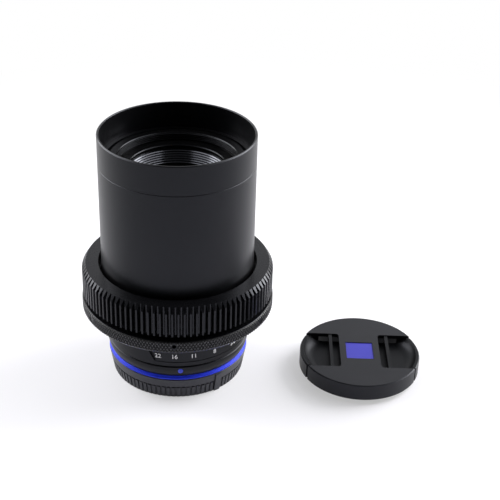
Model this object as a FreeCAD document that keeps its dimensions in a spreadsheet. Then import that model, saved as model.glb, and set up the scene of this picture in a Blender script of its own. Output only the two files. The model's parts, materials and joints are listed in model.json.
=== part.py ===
import FreeCAD, Part
import math
import os

import Sketcher

# Manual focus prime lens, standing on its rear cap with its front upwards, the hood turned back over the
# barrel, a toothed follow focus ring clamped on the focus ring, and the front cap lying beside it.
# Millimetres. The Z axis is the optical axis, and Z is 0 on the face that the rear cap stands on.

document = FreeCAD.newDocument("manual_focus_lens")
sheet = document.addObject("Spreadsheet::Sheet", "Sizes")
nodes = []


class Size:
    """A length, angle or count that carries its number and the expression that gives it."""

    def __init__(self, value, text):
        self.value = value
        self.text = text

    def __add__(self, other):
        return joined(self, "+", other)

    def __radd__(self, other):
        return joined(other, "+", self)

    def __sub__(self, other):
        return joined(self, "-", other)

    def __rsub__(self, other):
        return joined(other, "-", self)

    def __mul__(self, other):
        return joined(self, "*", other)

    def __rmul__(self, other):
        return joined(other, "*", self)

    def __truediv__(self, other):
        return joined(self, "/", other)

    def __neg__(self):
        return joined(0, "-", self)


def as_size(number):
    """A plain number as a Size."""
    if isinstance(number, Size):
        return number
    return Size(float(number), repr(number))


def joined(left, sign, right):
    """The sum, difference, product or quotient of two sizes."""
    left = as_size(left)
    right = as_size(right)
    results = {
        "+": lambda: left.value + right.value,
        "-": lambda: left.value - right.value,
        "*": lambda: left.value * right.value,
        "/": lambda: left.value / right.value,
    }
    return Size(results[sign](), f"({left.text} {sign} {right.text})")


def root(size):
    """The square root of a size."""
    return Size(math.sqrt(size.value), f"sqrt({size.text})")


def cosine(angle):
    """The cosine of an angle in degrees."""
    return Size(math.cos(math.radians(angle.value)), f"cos({angle.text} * 1 deg)")


def sine(angle):
    """The sine of an angle in degrees."""
    return Size(math.sin(math.radians(angle.value)), f"sin({angle.text} * 1 deg)")


row = 0


def size(alias, number, meaning):
    """Writes one driving size to the sheet and returns it."""
    global row
    row += 1
    sheet.set(f"A{row}", meaning)
    sheet.set(f"B{row}", str(number))
    sheet.setAlias(f"B{row}", alias)
    return Size(float(number), f"Sizes.{alias}")


# Clearances
running_gap = size("running_gap", 0.3, "between round faces that turn or slide past each other")
seat_gap = size("seat_gap", 0.05, "between a fixed piece and the bore or seat that holds it")
pin_gap = size("pin_gap", 0.06, "radial play of a pivot pin in its hole")
cement_gap = size("cement_gap", 0.04, "cement between two lens elements")

# Cutting outlines pass the faces that they cut, and added features start inside their piece
past_face = 0.1
outside = 1
root_depth = 0.5

# Rear cap
cap_height = size("rear_cap_height", 10.4, "rear cap, base to rim")
cap_base_radius = size("rear_cap_base_radius", 29.5, "rear cap at its base")
cap_rim_radius = size("rear_cap_rim_radius", 31.3, "rear cap at its rim")
cap_wall = size("rear_cap_wall", 2.6, "rear cap wall at the rim")
cap_floor = size("rear_cap_floor", 1.8, "rear cap floor")
cap_groove_level = size("rear_cap_groove_level", 5.6, "height of the groove round the rear cap")
cap_groove_width = size("rear_cap_groove_width", 0.7, "height of that groove's mouth")
cap_groove_depth = size("rear_cap_groove_depth", 0.55, "depth of that groove")
cap_rib_count = size("rear_cap_rib_count", 86, "grip ribs round the rear cap")
cap_rib_depth = size("rear_cap_rib_depth", 0.5, "depth of the gaps between the ribs")
cap_rib_gap_angle = size("rear_cap_rib_gap_angle", 1.6, "angle that a gap between ribs takes")
cap_tab_azimuth = size("rear_cap_tab_azimuth", 308.5, "where the smooth tab stands on the rear cap")
cap_tab_angle = size("rear_cap_tab_angle", 5.4, "angle that the tab takes")
cap_tab_height = size("rear_cap_tab_height", 0.55, "how far the tab stands out")
cap_collar_radius = size("rear_cap_collar_radius", 25.4, "outside of the collar inside the rear cap")
cap_collar_drop = size("rear_cap_collar_drop", 0.9, "collar below the mount's face")
cap_edge = size("rear_cap_edge", 0.35, "broken edges of the rear cap")
cap_lug_thickness = size("rear_cap_lug_thickness", 1.6, "lug of the rear cap along the axis")

# Camera bayonet
flange_gap = size("flange_gap", 0.5, "from the rear cap's rim up to the mount's face")
plate_radius = size("mount_plate_radius", 28.3, "mount plate")
plate_thickness = size("mount_plate_thickness", 2.3, "mount plate")
plate_play = size("mount_plate_play", 0.2, "between the mount plate and the rings round it")
throat_radius = size("mount_throat_radius", 21.9, "outside of the tube that enters the camera")
throat_wall = size("mount_throat_wall", 1.6, "wall of that tube")
throat_length = size("mount_throat_length", 5.3, "length of that tube below the face")
claw_radius = size("mount_claw_radius", 23.0, "over the bayonet claws")
claw_thickness = size("mount_claw_thickness", 1.5, "bayonet claw along the axis")
claw_angle = size("mount_claw_angle", 50, "angle that a claw takes")
claw_count = size("mount_claw_count", 3, "bayonet claws")
cap_lug_angle = size("rear_cap_lug_angle", 40, "angle that a lug of the rear cap takes")
screw_count = size("mount_screw_count", 4, "screws that hold the mount plate")
screw_circle = size("mount_screw_circle", 25.4, "radius of the circle of screws")
screw_radius = size("mount_screw_radius", 1.0, "screw shank")
screw_head_radius = size("mount_screw_head_radius", 1.75, "screw head")
screw_head_height = size("mount_screw_head_height", 0.9, "screw head")
screw_reach = size("mount_screw_reach", 3.4, "how far a screw reaches into the base ring")
screw_slot_width = size("mount_screw_slot_width", 0.4, "slot across a screw head")
block_azimuth = size("contact_azimuth", 90, "where the contact block stands")
block_angle = size("contact_block_angle", 72, "angle that the contact block takes")
block_width = size("contact_block_width", 3.2, "contact block along the radius")
block_drop = size("contact_block_drop", 0.4, "how far the block stays above the tube's end")
contact_count = size("contact_count", 10, "spring contacts")
contact_pitch = size("contact_pitch", 6.4, "angle between two contacts")
contact_angle = size("contact_angle", 3.2, "angle that a contact takes")
contact_width = size("contact_width", 2.0, "contact along the radius")
contact_length = size("contact_length", 1.2, "contact along the axis")
contact_reach = size("contact_reach", 0.35, "how far a contact stands out of the block")
contact_seat_play = size("contact_seat_play", 0.3, "angle of play of a contact in its seat")

# Seal and base ring
seal_lip_radius = size("seal_lip_radius", 31.2, "edge of the seal's lip")
seal_lip_thickness = size("seal_lip_thickness", 0.45, "edge of the seal's lip")
seal_height = size("seal_height", 1.3, "seal's foot along the axis")
seal_drop = size("seal_drop", 0.2, "how far the lip's edge hangs below the mount's face")
seal_foot_step = size("seal_foot_step", 0.3, "seal's underside outside the base ring's foot")
seal_flank_radius = size("seal_flank_radius", 4.5, "hollow of the seal's flank")
base_foot_radius = size("base_foot_radius", 30.3, "base ring where it meets the seal")
base_top_radius = size("base_top_radius", 31.6, "base ring at its top")
base_height = size("base_height", 5.4, "base ring above the seal")
base_flank_radius = size("base_flank_radius", 7.5, "rounding of the base ring's flank")
base_edge = size("base_ring_edge", 0.35, "broken edge of the base ring")
baffle_window_width = size("rear_baffle_window_width", 31, "window of the rear baffle")
baffle_window_height = size("rear_baffle_window_height", 21, "window of the rear baffle")
baffle_thickness = size("rear_baffle_thickness", 1.2, "rear baffle plate")

# Main tube with its guide keys
tube_bore = size("main_tube_bore", 26.4, "bore of the main tube")
tube_wall = size("main_tube_wall", 1.6, "wall of the main tube")
tube_foot_bore = size("main_tube_foot_bore", 23.4, "bore of the main tube's foot")
tube_foot_height = size("main_tube_foot_height", 1.8, "foot of the main tube")
key_count = size("guide_key_count", 2, "keys that stop the front barrel from turning")
key_angle = size("guide_key_angle", 8, "angle that a key takes")
key_height = size("guide_key_height", 5.8, "key along the axis")
key_drop = size("guide_key_drop", 11.1, "from the main tube's top down to the keys")
key_play = size("guide_key_play", 0.6, "angle of play of a key in its slot")
key_seat_play = size("key_seat_play", 0.3, "angle of play of a key in its seat")
key_slot_gap = size("key_slot_gap", 0.4, "between a key and the ends of its slot")
tube_drop = size("main_tube_drop", 1.9, "main tube's top below the link's top")

# Aperture ring
ring_gap = size("ring_gap", 0.3, "gap between neighbouring rings along the axis")
aperture_height = size("aperture_ring_height", 12.6, "aperture ring")
aperture_foot_radius = size("aperture_foot_radius", 31.6, "aperture ring at its foot")
aperture_grip_radius = size("aperture_grip_radius", 32.3, "aperture ring at its raised grip")
aperture_plate_radius = size("aperture_plate_radius", 31.7, "aperture ring at its number plate")
aperture_foot_height = size("aperture_foot_height", 2.1, "aperture ring's foot")
aperture_groove_depth = size("aperture_groove_depth", 0.35, "groove above the foot")
aperture_groove_width = size("aperture_groove_width", 0.4, "groove above the foot")
aperture_edge = size("aperture_ring_edge", 0.5, "broken edge of the aperture ring")
aperture_closes = size("aperture_closes", 17.7, "turn from rest to the smallest aperture")
aperture_opens = size("aperture_opens", 96.2, "turn from rest to the largest aperture")
plate_start = size("number_plate_start", 256.0, "where the number plate starts")
plate_angle = size("number_plate_angle", 124.0, "angle that the number plate takes")
plate_slant = size("number_plate_slant", 12.0, "how far the plate's ends slant")
click_pitch = size("click_pitch", 5.2, "angle between two click notches")
click_count = size("click_count", 23, "click notches")
click_depth = size("click_notch_depth", 0.35, "depth of a click notch")
click_angle = size("click_notch_angle", 1.6, "angle that a click notch takes")
click_azimuth = size("click_azimuth", 180, "where the click ball stands")
click_ball_radius = size("click_ball_radius", 0.75, "click ball")
click_level = size("click_level", 2.9, "click ball above the base ring")
click_ball_gap = size("click_ball_gap", 0.1, "from the click ball to the main tube's outside")
click_track_height = size("click_track_height", 2.0, "click notches along the axis")
spring_thickness = size("click_spring_thickness", 0.3, "leaf spring behind the click ball")
spring_angle = size("click_spring_angle", 36, "angle that the leaf spring takes")
spring_height = size("click_spring_height", 1.5, "leaf spring along the axis")
link_azimuth = size("link_azimuth", 220, "where the link stands at rest")
link_angle = size("link_angle", 9, "angle that the link takes")
link_thickness = size("link_thickness", 1.1, "link along the radius")
link_foot_height = size("link_foot_height", 3.0, "link where it passes through the main tube")
link_foot_level = size("link_foot_level", 4.6, "link above the base ring")
link_play = size("link_play", 0.02, "how far the link's foot stays inside the ring's bore")

# Focus ring and follow focus ring
scale_height = size("scale_ring_height", 2.0, "fixed scale ring")
scale_radius = size("scale_ring_radius", 31.0, "fixed scale ring")
focus_height = size("focus_ring_height", 42.9, "focus ring")
focus_radius = size("focus_ring_radius", 31.25, "focus ring")
focus_wall = size("focus_ring_wall", 2.05, "focus ring")
focus_edge = size("focus_ring_edge", 0.4, "broken edge of the focus ring")
focus_lip = size("focus_ring_lip", 1.5, "lip at the focus ring's foot that runs on the main tube")
focus_grip_count = size("focus_grip_count", 36, "grip grooves round the focus ring")
focus_grip_depth = size("focus_grip_depth", 0.5, "depth of a grip groove")
focus_grip_angle = size("focus_grip_angle", 3.6, "angle that a grip groove takes")
focus_grip_height = size("focus_grip_height", 21, "grip grooves along the axis")
gear_module = size("gear_module", 0.8, "module of the follow focus teeth")
gear_teeth = size("gear_teeth", 103, "follow focus teeth")
gear_height = size("gear_height", 13.5, "toothed ring")
gear_chamfer_height = size("gear_chamfer_height", 2.45, "slope on the front ends of the teeth")
gear_mouth_radius = size("gear_mouth_radius", 34.85, "opening in the toothed ring's front face")
gear_mouth_depth = size("gear_mouth_depth", 5.9, "depth of that opening")
gear_hub_radius = size("gear_hub_radius", 38.6, "threaded hub behind the teeth")
gear_bore_play = size("gear_bore_play", 0.1, "between the clamp insert and the toothed ring")
gear_tooth_depth = size("gear_tooth_depth", 2.25, "depth of a tooth in modules")
gear_gap_foot = size("gear_gap_foot", 0.72, "gap between two teeth at their roots in modules")
gear_gap_mouth = size("gear_gap_mouth", 2.52, "gap between two teeth past their tips in modules")
gear_mouth_reach = size("gear_mouth_reach", 0.3, "past the tips to where that width is measured")
gear_slope_end = size("gear_slope_end", 0.15, "end of the front slope outside the teeth's roots")
clamp_gap = size("clamp_gap", 2.6, "open band between the teeth and the clamp ring")
clamp_height = size("clamp_ring_height", 6.6, "clamp ring")
clamp_radius = size("clamp_ring_radius", 42.06, "clamp ring")
clamp_slope = size("clamp_ring_slope", 1.86, "how far the clamp ring's rear edge slopes in")
clamp_slope_rise = size("clamp_slope_rise", 1.2, "rise of that slope for each millimetre inwards")
clamp_edge = size("clamp_ring_edge", 0.35, "broken edge of the clamp ring")
clamp_flange = size("clamp_ring_flange", 1.5, "flange that presses the clamp insert")
clamp_level = size("clamp_level", 0.6, "clamp ring above the aperture ring")
clamp_hole_count = size("clamp_hole_count", 6, "spanner holes round the clamp ring")
clamp_hole_radius = size("clamp_hole_radius", 0.95, "spanner hole")
clamp_hole_depth = size("clamp_hole_depth", 2.0, "spanner hole")
clamp_hole_azimuth = size("clamp_hole_azimuth", 271.8, "where the first spanner hole is")
insert_wall = size("clamp_insert_wall", 2.9, "wall of the clamp insert")
insert_slots = size("clamp_insert_slots", 8, "slots that make the insert's fingers")
insert_slot_angle = size("clamp_insert_slot_angle", 3, "angle that a slot takes")
insert_root = size("clamp_insert_root", 3.0, "unslotted foot of the insert")
insert_foot_gap = size("clamp_insert_foot_gap", 0.6, "insert above the clamp ring's flange")
insert_top_gap = size("clamp_insert_top_gap", 0.5, "insert below the toothed ring's mouth")

# Front barrel and what it holds
barrel_gap = size("front_barrel_gap", 0.4, "from the focus ring to the front barrel's shoulder")
barrel_height = size("front_barrel_height", 26.4, "front barrel, shoulder to front rim")
barrel_radius = size("front_barrel_radius", 31.0, "front barrel")
barrel_web = size("front_barrel_web", 2.2, "web that joins the front barrel to its sleeve")
sleeve_wall = size("sleeve_wall", 0.6, "sleeve that slides on the main tube")
sleeve_length = size("sleeve_length", 37.9, "sleeve below the shoulder")
extension = size("focus_extension", 11.3, "how far the front barrel moves out at the closest distance")
hood_seat_radius = size("hood_seat_radius", 29.2, "front barrel where the hood is seated")
hood_seat_height = size("hood_seat_height", 5.4, "front barrel where the hood is seated")
hood_claw_height = size("hood_claw_height", 0.9, "how far a hood claw stands out")
hood_claw_thickness = size("hood_claw_thickness", 1.4, "hood claw along the axis")
hood_claw_angle = size("hood_claw_angle", 88, "angle that a hood claw takes")
hood_claw_azimuth = size("hood_claw_azimuth", 94, "where the first hood claw is")
hood_claw_count = size("hood_claw_count", 3, "hood claws")
rim_chamfer = size("front_rim_chamfer", 0.3, "chamfer of the front rim")
barrel_edge = size("front_barrel_edge", 0.4, "broken edges of the front barrel")
filter_radius = size("filter_radius", 25.6, "crests of the 52 mm filter thread")
filter_depth = size("filter_depth", 3.8, "filter thread")
name_ring_thickness = size("name_ring_thickness", 1.5, "name ring")
name_ring_radius = size("name_ring_radius", 25.0, "seat of the name ring")
name_ring_bore = size("name_ring_bore", 20.6, "name ring")
name_ring_edge = size("name_ring_edge", 0.3, "broken edge of the name ring")
cell_radius = size("cell_radius", 24.7, "outside of the lens cells")
cell_play = size("cell_play", 0.1, "between the lens cells and the front barrel")
light_baffle_radius = size("light_baffle_radius", 23.0, "outside of the ridged light baffle")
light_baffle_bore = size("light_baffle_bore", 20.2, "ridges of the light baffle at its front")
light_baffle_taper = size("light_baffle_taper", 0.06, "how much smaller each ridge is than the one before")
ridge_count = 6
ridge_pitch = size("ridge_pitch", 1.1, "from one ridge of the light baffle to the next")
ridge_depth = size("ridge_depth", 0.6, "depth between two ridges")

# Lens cells
front_recess = size("front_recess", 13.2, "front lens below the front rim")
front_lip = size("front_retainer_lip", 1.2, "how far the front retainer covers the front lens")
middle_step = size("middle_cell_step", 1.0, "front cell's bore outside the middle group, above its seat")
middle_shelf = size("middle_cell_shelf", 5.2, "that wider bore's foot below the middle group's front")
middle_lip = size("middle_retainer_lip", 0.9, "how far the middle retainer covers the middle group")
hollow_lip = size("hollow_lip", 1.2, "front cell's opening outside the hollow lens surface")
cone_slope = size("middle_seat_slope", 1.5, "fall of the middle group's seat for each millimetre inwards")
retainer_height = size("middle_retainer_height", 1.6, "middle retainer")
rear_air = size("rear_group_air", 2.0, "rear group behind the iris")
rear_lip = size("rear_cell_lip", 1.0, "how far the rear cell covers its lenses")
rear_wall = size("rear_cell_wall", 3.5, "wall of the rear cell")
rear_overhang = size("rear_cell_overhang", 3.0, "rear cell behind its last lens")
rear_flange = size("rear_cell_flange", 3.0, "rear cell's flange under the iris housing")
rear_neck = size("rear_cell_neck", 2.0, "slope from the flange to the rear cell's wall")
rear_play = size("rear_cell_play", 0.2, "rear cell's flange inside the iris housing's outside")
rear_recess = size("rear_retainer_recess", 0.6, "rear retainer inside the rear cell's end")

# Iris
iris_drop = size("iris_drop", 20.0, "iris housing's foot below the front barrel's web")
drive_drop = size("drive_ring_drop", 0.4, "drive ring below the iris housing's top")
blade_lift = size("blade_lift", 0.3, "first blade above the housing's floor")
blade_neck = size("blade_neck_angle", 4, "angle from a blade's pivot to the end of its neck")
blade_heel = size("blade_heel_angle", 3, "angle from a blade's pivot back to its heel")
blade_shoulder = size("blade_shoulder_angle", 2, "angle from the neck to a blade's outer edge")
blade_tip = size("blade_tip_angle", 6, "angle that a blade's slanted tip takes")
blade_count = 10
blade_thickness = size("blade_thickness", 0.15, "iris blade")
blade_pitch = size("blade_pitch", 0.3, "from one blade's level to the next")
blade_inner = size("blade_inner_radius", 12.8, "inner edge of a blade")
blade_outer = size("blade_outer_radius", 18.2, "outer edge of a blade")
blade_span = size("blade_span", 116, "angle that a blade takes")
blade_pivot = size("blade_pivot_radius", 19.5, "circle of the blades' pivots")
blade_eye = size("blade_eye_radius", 1.15, "round end of a blade at its pivot")
blade_turn_rest = size("blade_turn_rest", 28.4, "how far the blades are turned in at rest")
pin_radius = size("iris_pin_radius", 0.35, "pivot pin")
iris_floor = size("iris_floor", 2.4, "floor of the iris housing")
iris_bore = size("iris_bore", 13.0, "opening of the iris housing")
iris_wall = size("iris_wall", 1.4, "wall of the iris housing")
iris_height = size("iris_height", 8.4, "iris housing")
drive_thickness = size("drive_ring_thickness", 1.6, "iris drive ring")
drive_bore = size("drive_ring_bore", 14.5, "iris drive ring")
drive_fork_angle = size("drive_fork_angle", 16, "angle that the drive ring's fork takes")
fork_slot_play = size("fork_slot_play", 3, "angle that the fork's slot has to spare")
fork_play = size("fork_play", 0.6, "angle of play of the link in the drive ring's fork")
fork_root_gap = size("fork_root_gap", 0.1, "from the iris housing out to the fork's mouth")

# Hood
hood_radius = size("hood_radius", 33.44, "outside of the hood")
hood_wall = size("hood_wall", 1.04, "wall of the hood")
hood_overhang = size("hood_overhang", 11.35, "hood above the front rim")
hood_length = size("hood_length", 63.65, "hood")
hood_chamfer = size("hood_chamfer", 0.4, "chamfer of the hood's rim")
hood_inner_edge = size("hood_inner_edge", 0.25, "broken inner edge of the hood's rim")
hood_seam_level = size("hood_seam_level", 12.85, "from the hood's rim down to its seam")
hood_seam_width = size("hood_seam_width", 0.3, "seam round the hood")
hood_seam_depth = size("hood_seam_depth", 0.15, "seam round the hood")
hood_ring_height = size("hood_ring_height", 4.6, "bayonet ring in the hood")
hood_ring_drop = size("hood_ring_drop", 0.3, "hood's bayonet ring below the front rim")
hood_ring_wall = size("hood_ring_wall", 1.85, "bayonet ring in the hood")
hood_lug_angle = size("hood_lug_angle", 28, "angle that a lug of the hood takes")
hood_lug_thickness = size("hood_lug_thickness", 1.5, "lug of the hood along the axis")
hood_lug_gap = size("hood_lug_gap", 0.4, "between a hood lug and the claw above it")

# Front cap
front_cap_x = size("front_cap_x", 83.1, "where the front cap lies")
front_cap_y = size("front_cap_y", -3.5, "where the front cap lies")
front_cap_radius = size("front_cap_radius", 27.2, "front cap")
front_cap_height = size("front_cap_height", 10.1, "front cap")
front_cap_plate = size("front_cap_plate", 1.8, "front cap's face plate")
front_cap_wall = size("front_cap_wall", 1.8, "front cap's rim")
front_cap_rim_level = size("front_cap_rim_level", 2.6, "rim's lower edge")
skirt_radius = size("front_cap_skirt_radius", 24.9, "skirt that enters the filter thread")
skirt_wall = size("front_cap_skirt_wall", 1.3, "skirt")
skirt_relief = size("front_cap_skirt_relief", 1.3, "how far the skirt stands in from the latches' skirts")
face_chamfer = size("front_cap_chamfer", 0.4, "edge of the front cap's face")
recess_inner = size("finger_recess_inner", 9.0, "inner edge of a finger recess from the middle")
recess_half_width = size("finger_recess_half_width", 12.9, "half the width of a finger recess")
recess_corner = size("finger_recess_corner", 1.5, "rounding of a finger recess's inner corners")
latch_play = size("latch_play", 0.25, "between a latch and the cap's body")
latch_travel = size("latch_travel", 2.0, "how far a latch is pinched in")
latch_floor_level = size("latch_floor_level", 4.4, "underside of a latch's floor")
latch_floor = size("latch_floor", 1.5, "floor of a latch")
latch_inner_end = size("latch_inner_end", 6.5, "inner end of a latch from the middle")
latch_dish_radius = size("latch_dish_radius", 20.5, "where a latch's floor starts to rise to the rim")
latch_dish_curve = size("latch_dish_curve", 6, "rounding of a latch's floor up to its rim")
latch_rim_drop = size("latch_rim_drop", 0.5, "latch's rim below the cap's face")
latch_rim_gap = size("latch_rim_gap", 1.0, "notch in the rim at each end of a latch")
bar_inner = size("grip_bar_inner", 12.2, "grip bar's inner face from the middle")
bar_width = size("grip_bar_width", 1.5, "grip bar")
bar_drop = size("grip_bar_drop", 0.3, "grip bar below the cap's face")
tooth_height = size("latch_tooth_height", 0.6, "tooth that grips the filter thread")
tooth_level = size("latch_tooth_level", 1.2, "tip of that tooth above the table")
latch_foot_level = size("latch_foot_level", 0.15, "latch's skirt above the table")
latch_lip_width = size("latch_lip_width", 0.3, "bevel of a latch's rim on its inner side")
latch_lip_height = size("latch_lip_height", 0.6, "height of that bevel")
hub_half_length = size("cap_hub_half_length", 3.8, "half the hub under the cap's face")
hub_half_width = size("cap_hub_half_width", 6.0, "half the hub's width")
hub_level = size("cap_hub_level", 2.2, "underside of the hub")
lug_inner = size("spring_lug_inner", 10.6, "spring lug's inner face from the middle")
lug_length = size("spring_lug_length", 2.4, "spring lug")
lug_half_width = size("spring_lug_half_width", 2.6, "half the spring lug's width")
spring_gap = size("spring_gap", 0.02, "between a spring and the hub")
spring_lift = size("spring_lift", 0.1, "spring above the middle of its space")
spring_end_gap = size("spring_end_gap", 0.1, "between a pinched latch and its spring")
coil_radius = size("coil_radius", 0.75, "middle of the spring's wire from its axis")
coil_wire = size("coil_wire", 0.4, "side of the square spring wire")
coil_turns = size("coil_turns", 4, "turns of a spring")
retainer_thickness = size("cap_retainer_thickness", 1.2, "retainer under the latches")
retainer_half_length = size("cap_retainer_half_length", 17, "half the retainer's length")
retainer_half_width = size("cap_retainer_half_width", 11.5, "half the retainer's width")
retainer_rail = size("cap_retainer_rail", 1.5, "width of the retainer's rails")
rail_gap = size("cap_rail_gap", 0.3, "between a rail and the latch above it")
badge_length = size("badge_length", 12.2, "plain inlay in the cap's face")
badge_width = size("badge_width", 12.6, "plain inlay in the cap's face")
badge_depth = size("badge_depth", 0.8, "recess for the inlay")
badge_sink = size("badge_sink", 0.35, "inlay below the cap's face")

# Levels, worked out from the heights above
flange_level = cap_height + flange_gap
plate_top = flange_level + plate_thickness
base_foot_level = flange_level + seal_height
base_top = base_foot_level + base_height
aperture_foot = base_top + ring_gap
aperture_top = aperture_foot + aperture_height
scale_foot = aperture_top + ring_gap
scale_top = scale_foot + scale_height
focus_foot = scale_top + ring_gap
focus_top = focus_foot + focus_height
shoulder = focus_top + barrel_gap
front_rim = shoulder + barrel_height
web_foot = shoulder - barrel_web
link_top = web_foot - ring_gap
tube_top = link_top - tube_drop
tube_radius = tube_bore + tube_wall
sleeve_bore = tube_radius + running_gap
sleeve_radius = sleeve_bore + sleeve_wall
clamp_foot = aperture_top + clamp_level
clamp_top = clamp_foot + clamp_height
gear_foot = clamp_top + clamp_gap
gear_top = gear_foot + gear_height
gear_tip_radius = gear_module * (gear_teeth + 2) / 2
gear_root_radius = gear_tip_radius - gear_module * gear_tooth_depth
hood_top = front_rim + hood_overhang
hood_bore = hood_radius - hood_wall
hood_seat = front_rim - hood_seat_height


def origin_feature(body, role):
    """The plane or axis of a body's own origin that has this role."""
    for feature in body.Origin.OriginFeatures:
        if feature.Role == role:
            return feature
    raise ValueError(role)


def new_body(name):
    """A body whose label is the name of its piece."""
    body = document.addObject("PartDesign::Body", name)
    body.Label = name
    nodes.append(body)
    return body


def new_sketch(body, name, role="XZ_Plane", azimuth=None, level=None):
    """A sketch on a plane of the body, turned to an azimuth about Z or lifted to a level."""
    sketch = body.newObject("Sketcher::SketchObject", name)
    sketch.AttachmentSupport = [(origin_feature(body, role), "")]
    sketch.MapMode = "FlatFace"
    if azimuth is not None:
        turn = FreeCAD.Rotation(FreeCAD.Vector(0, 1, 0), as_size(azimuth).value)
        sketch.AttachmentOffset = FreeCAD.Placement(FreeCAD.Vector(0, 0, 0), turn)
        sketch.setExpression("AttachmentOffset.Rotation.Angle", as_size(azimuth).text)
    if level is not None:
        height = FreeCAD.Vector(0, 0, as_size(level).value)
        sketch.AttachmentOffset = FreeCAD.Placement(height, FreeCAD.Rotation())
        sketch.setExpression("AttachmentOffset.Base.z", as_size(level).text)
    return sketch


def tangent_sketch(body, name, azimuth, distance):
    """A sketch on an upright plane that stands at a distance from the Z axis, facing an azimuth."""
    turn = azimuth - 270
    sketch = new_sketch(body, name, azimuth=turn)
    across = distance * sine(turn)
    outwards = distance * cosine(turn)
    place = FreeCAD.Vector(across.value, 0, outwards.value)
    sketch.AttachmentOffset = FreeCAD.Placement(place, sketch.AttachmentOffset.Rotation)
    sketch.setExpression("AttachmentOffset.Base.x", across.text)
    sketch.setExpression("AttachmentOffset.Base.z", outwards.text)
    return sketch


def bind(sketch, index, name, expression):
    """Names a constraint and gives it its expression."""
    sketch.renameConstraint(index, name)
    sketch.setExpression(f"Constraints.{name}", expression.text)


def place_point(sketch, edge, end, x, y, name):
    """Holds the end of an edge at x and y."""
    for letter, kind, coordinate, axis in (("x", "DistanceX", x, -2), ("y", "DistanceY", y, -1)):
        if coordinate.text in ("0", "0.0"):
            sketch.addConstraint(Sketcher.Constraint("PointOnObject", edge, end, axis))
            continue
        index = sketch.addConstraint(Sketcher.Constraint(kind, -1, 1, edge, end, coordinate.value))
        bind(sketch, index, f"{name}_{letter}", coordinate)


def arc_edge(start, finish, radius):
    """A round edge from start to finish. A positive radius turns left, a negative one right."""
    chord = finish - start
    left = FreeCAD.Vector(-chord.y, chord.x, 0).normalize()
    rise = math.sqrt(radius * radius - chord.Length * chord.Length / 4)
    centre = (start + finish) * 0.5 + left * math.copysign(rise, radius)
    first, last = (start, finish) if radius > 0 else (finish, start)
    first_angle = math.atan2(first.y - centre.y, first.x - centre.x)
    last_angle = math.atan2(last.y - centre.y, last.x - centre.x)
    circle = Part.Circle(centre, FreeCAD.Vector(0, 0, 1), abs(radius))
    return Part.ArcOfCircle(circle, first_angle, last_angle)


def draw_outline(sketch, corners, name="corner"):
    """Draws a closed outline. A corner is (x, y), or (x, y, radius) where a round edge leads to it."""
    corners = [tuple(as_size(number) for number in corner) for corner in corners]
    points = [FreeCAD.Vector(corner[0].value, corner[1].value, 0) for corner in corners]
    edges = []
    for index, corner in enumerate(corners):
        start = points[index - 1]
        finish = points[index]
        if len(corner) == 3:
            radius = corner[2].value
            edge = sketch.addGeometry(arc_edge(start, finish, radius), False)
            ends = (1, 2) if radius > 0 else (2, 1)
            limit = sketch.addConstraint(Sketcher.Constraint("Radius", edge, abs(radius)))
            positive = corner[2] if radius > 0 else -corner[2]
            bind(sketch, limit, f"{name}_{index}_radius", positive)
        else:
            edge = sketch.addGeometry(Part.LineSegment(start, finish), False)
            ends = (1, 2)
        edges.append((edge, ends))
    for index, (edge, ends) in enumerate(edges):
        following, following_ends = edges[(index + 1) % len(edges)]
        meeting = Sketcher.Constraint("Coincident", edge, ends[1], following, following_ends[0])
        sketch.addConstraint(meeting)
        place_point(sketch, edge, ends[1], corners[index][0], corners[index][1], f"{name}_{index}")


def draw_circle(sketch, x, y, radius, name="circle"):
    """Draws a circle with its centre at x and y."""
    x, y, radius = as_size(x), as_size(y), as_size(radius)
    centre = FreeCAD.Vector(x.value, y.value, 0)
    edge = sketch.addGeometry(Part.Circle(centre, FreeCAD.Vector(0, 0, 1), radius.value), False)
    index = sketch.addConstraint(Sketcher.Constraint("Radius", edge, radius.value))
    bind(sketch, index, f"{name}_radius", radius)
    place_point(sketch, edge, 3, x, y, name)


def box_outline(low_x, high_x, low_y, high_y):
    """The four corners of a rectangle."""
    return [(low_x, low_y), (high_x, low_y), (high_x, high_y), (low_x, high_y)]


def side_outline(side, near, far, half_width):
    """A rectangle on the right (1) or left (-1) of the middle."""
    if side > 0:
        return box_outline(near, far, -half_width, half_width)
    return box_outline(-far, -near, -half_width, half_width)


def add_feature(body, kind, name, sketch):
    """Adds a sketch-based feature and makes it the body's tip."""
    feature = body.newObject(f"PartDesign::{kind}", name)
    feature.Profile = sketch
    body.Tip = feature
    return feature


def turned(name, corners):
    """A piece turned about Z from an outline of radius and height."""
    body = new_body(name)
    sketch = new_sketch(body, f"{name}_outline")
    draw_outline(sketch, corners)
    turn = add_feature(body, "Revolution", f"{name}_turned", sketch)
    turn.ReferenceAxis = (sketch, ["V_Axis"])
    turn.Angle = 360
    return body


def sector(body, kind, name, corners, azimuth, angle, count=None, pitch=None):
    """Adds (Revolution) or cuts (Groove) a part of a turned form, once or several times round Z."""
    sketch = new_sketch(body, f"{name}_outline", azimuth=azimuth)
    draw_outline(sketch, corners)
    feature = add_feature(body, kind, name, sketch)
    feature.ReferenceAxis = (sketch, ["V_Axis"])
    feature.Midplane = True
    feature.Angle = as_size(angle).value
    feature.setExpression("Angle", as_size(angle).text)
    if count is not None:
        repeat(body, feature, sketch, "V_Axis", count, pitch)
    return feature


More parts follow.
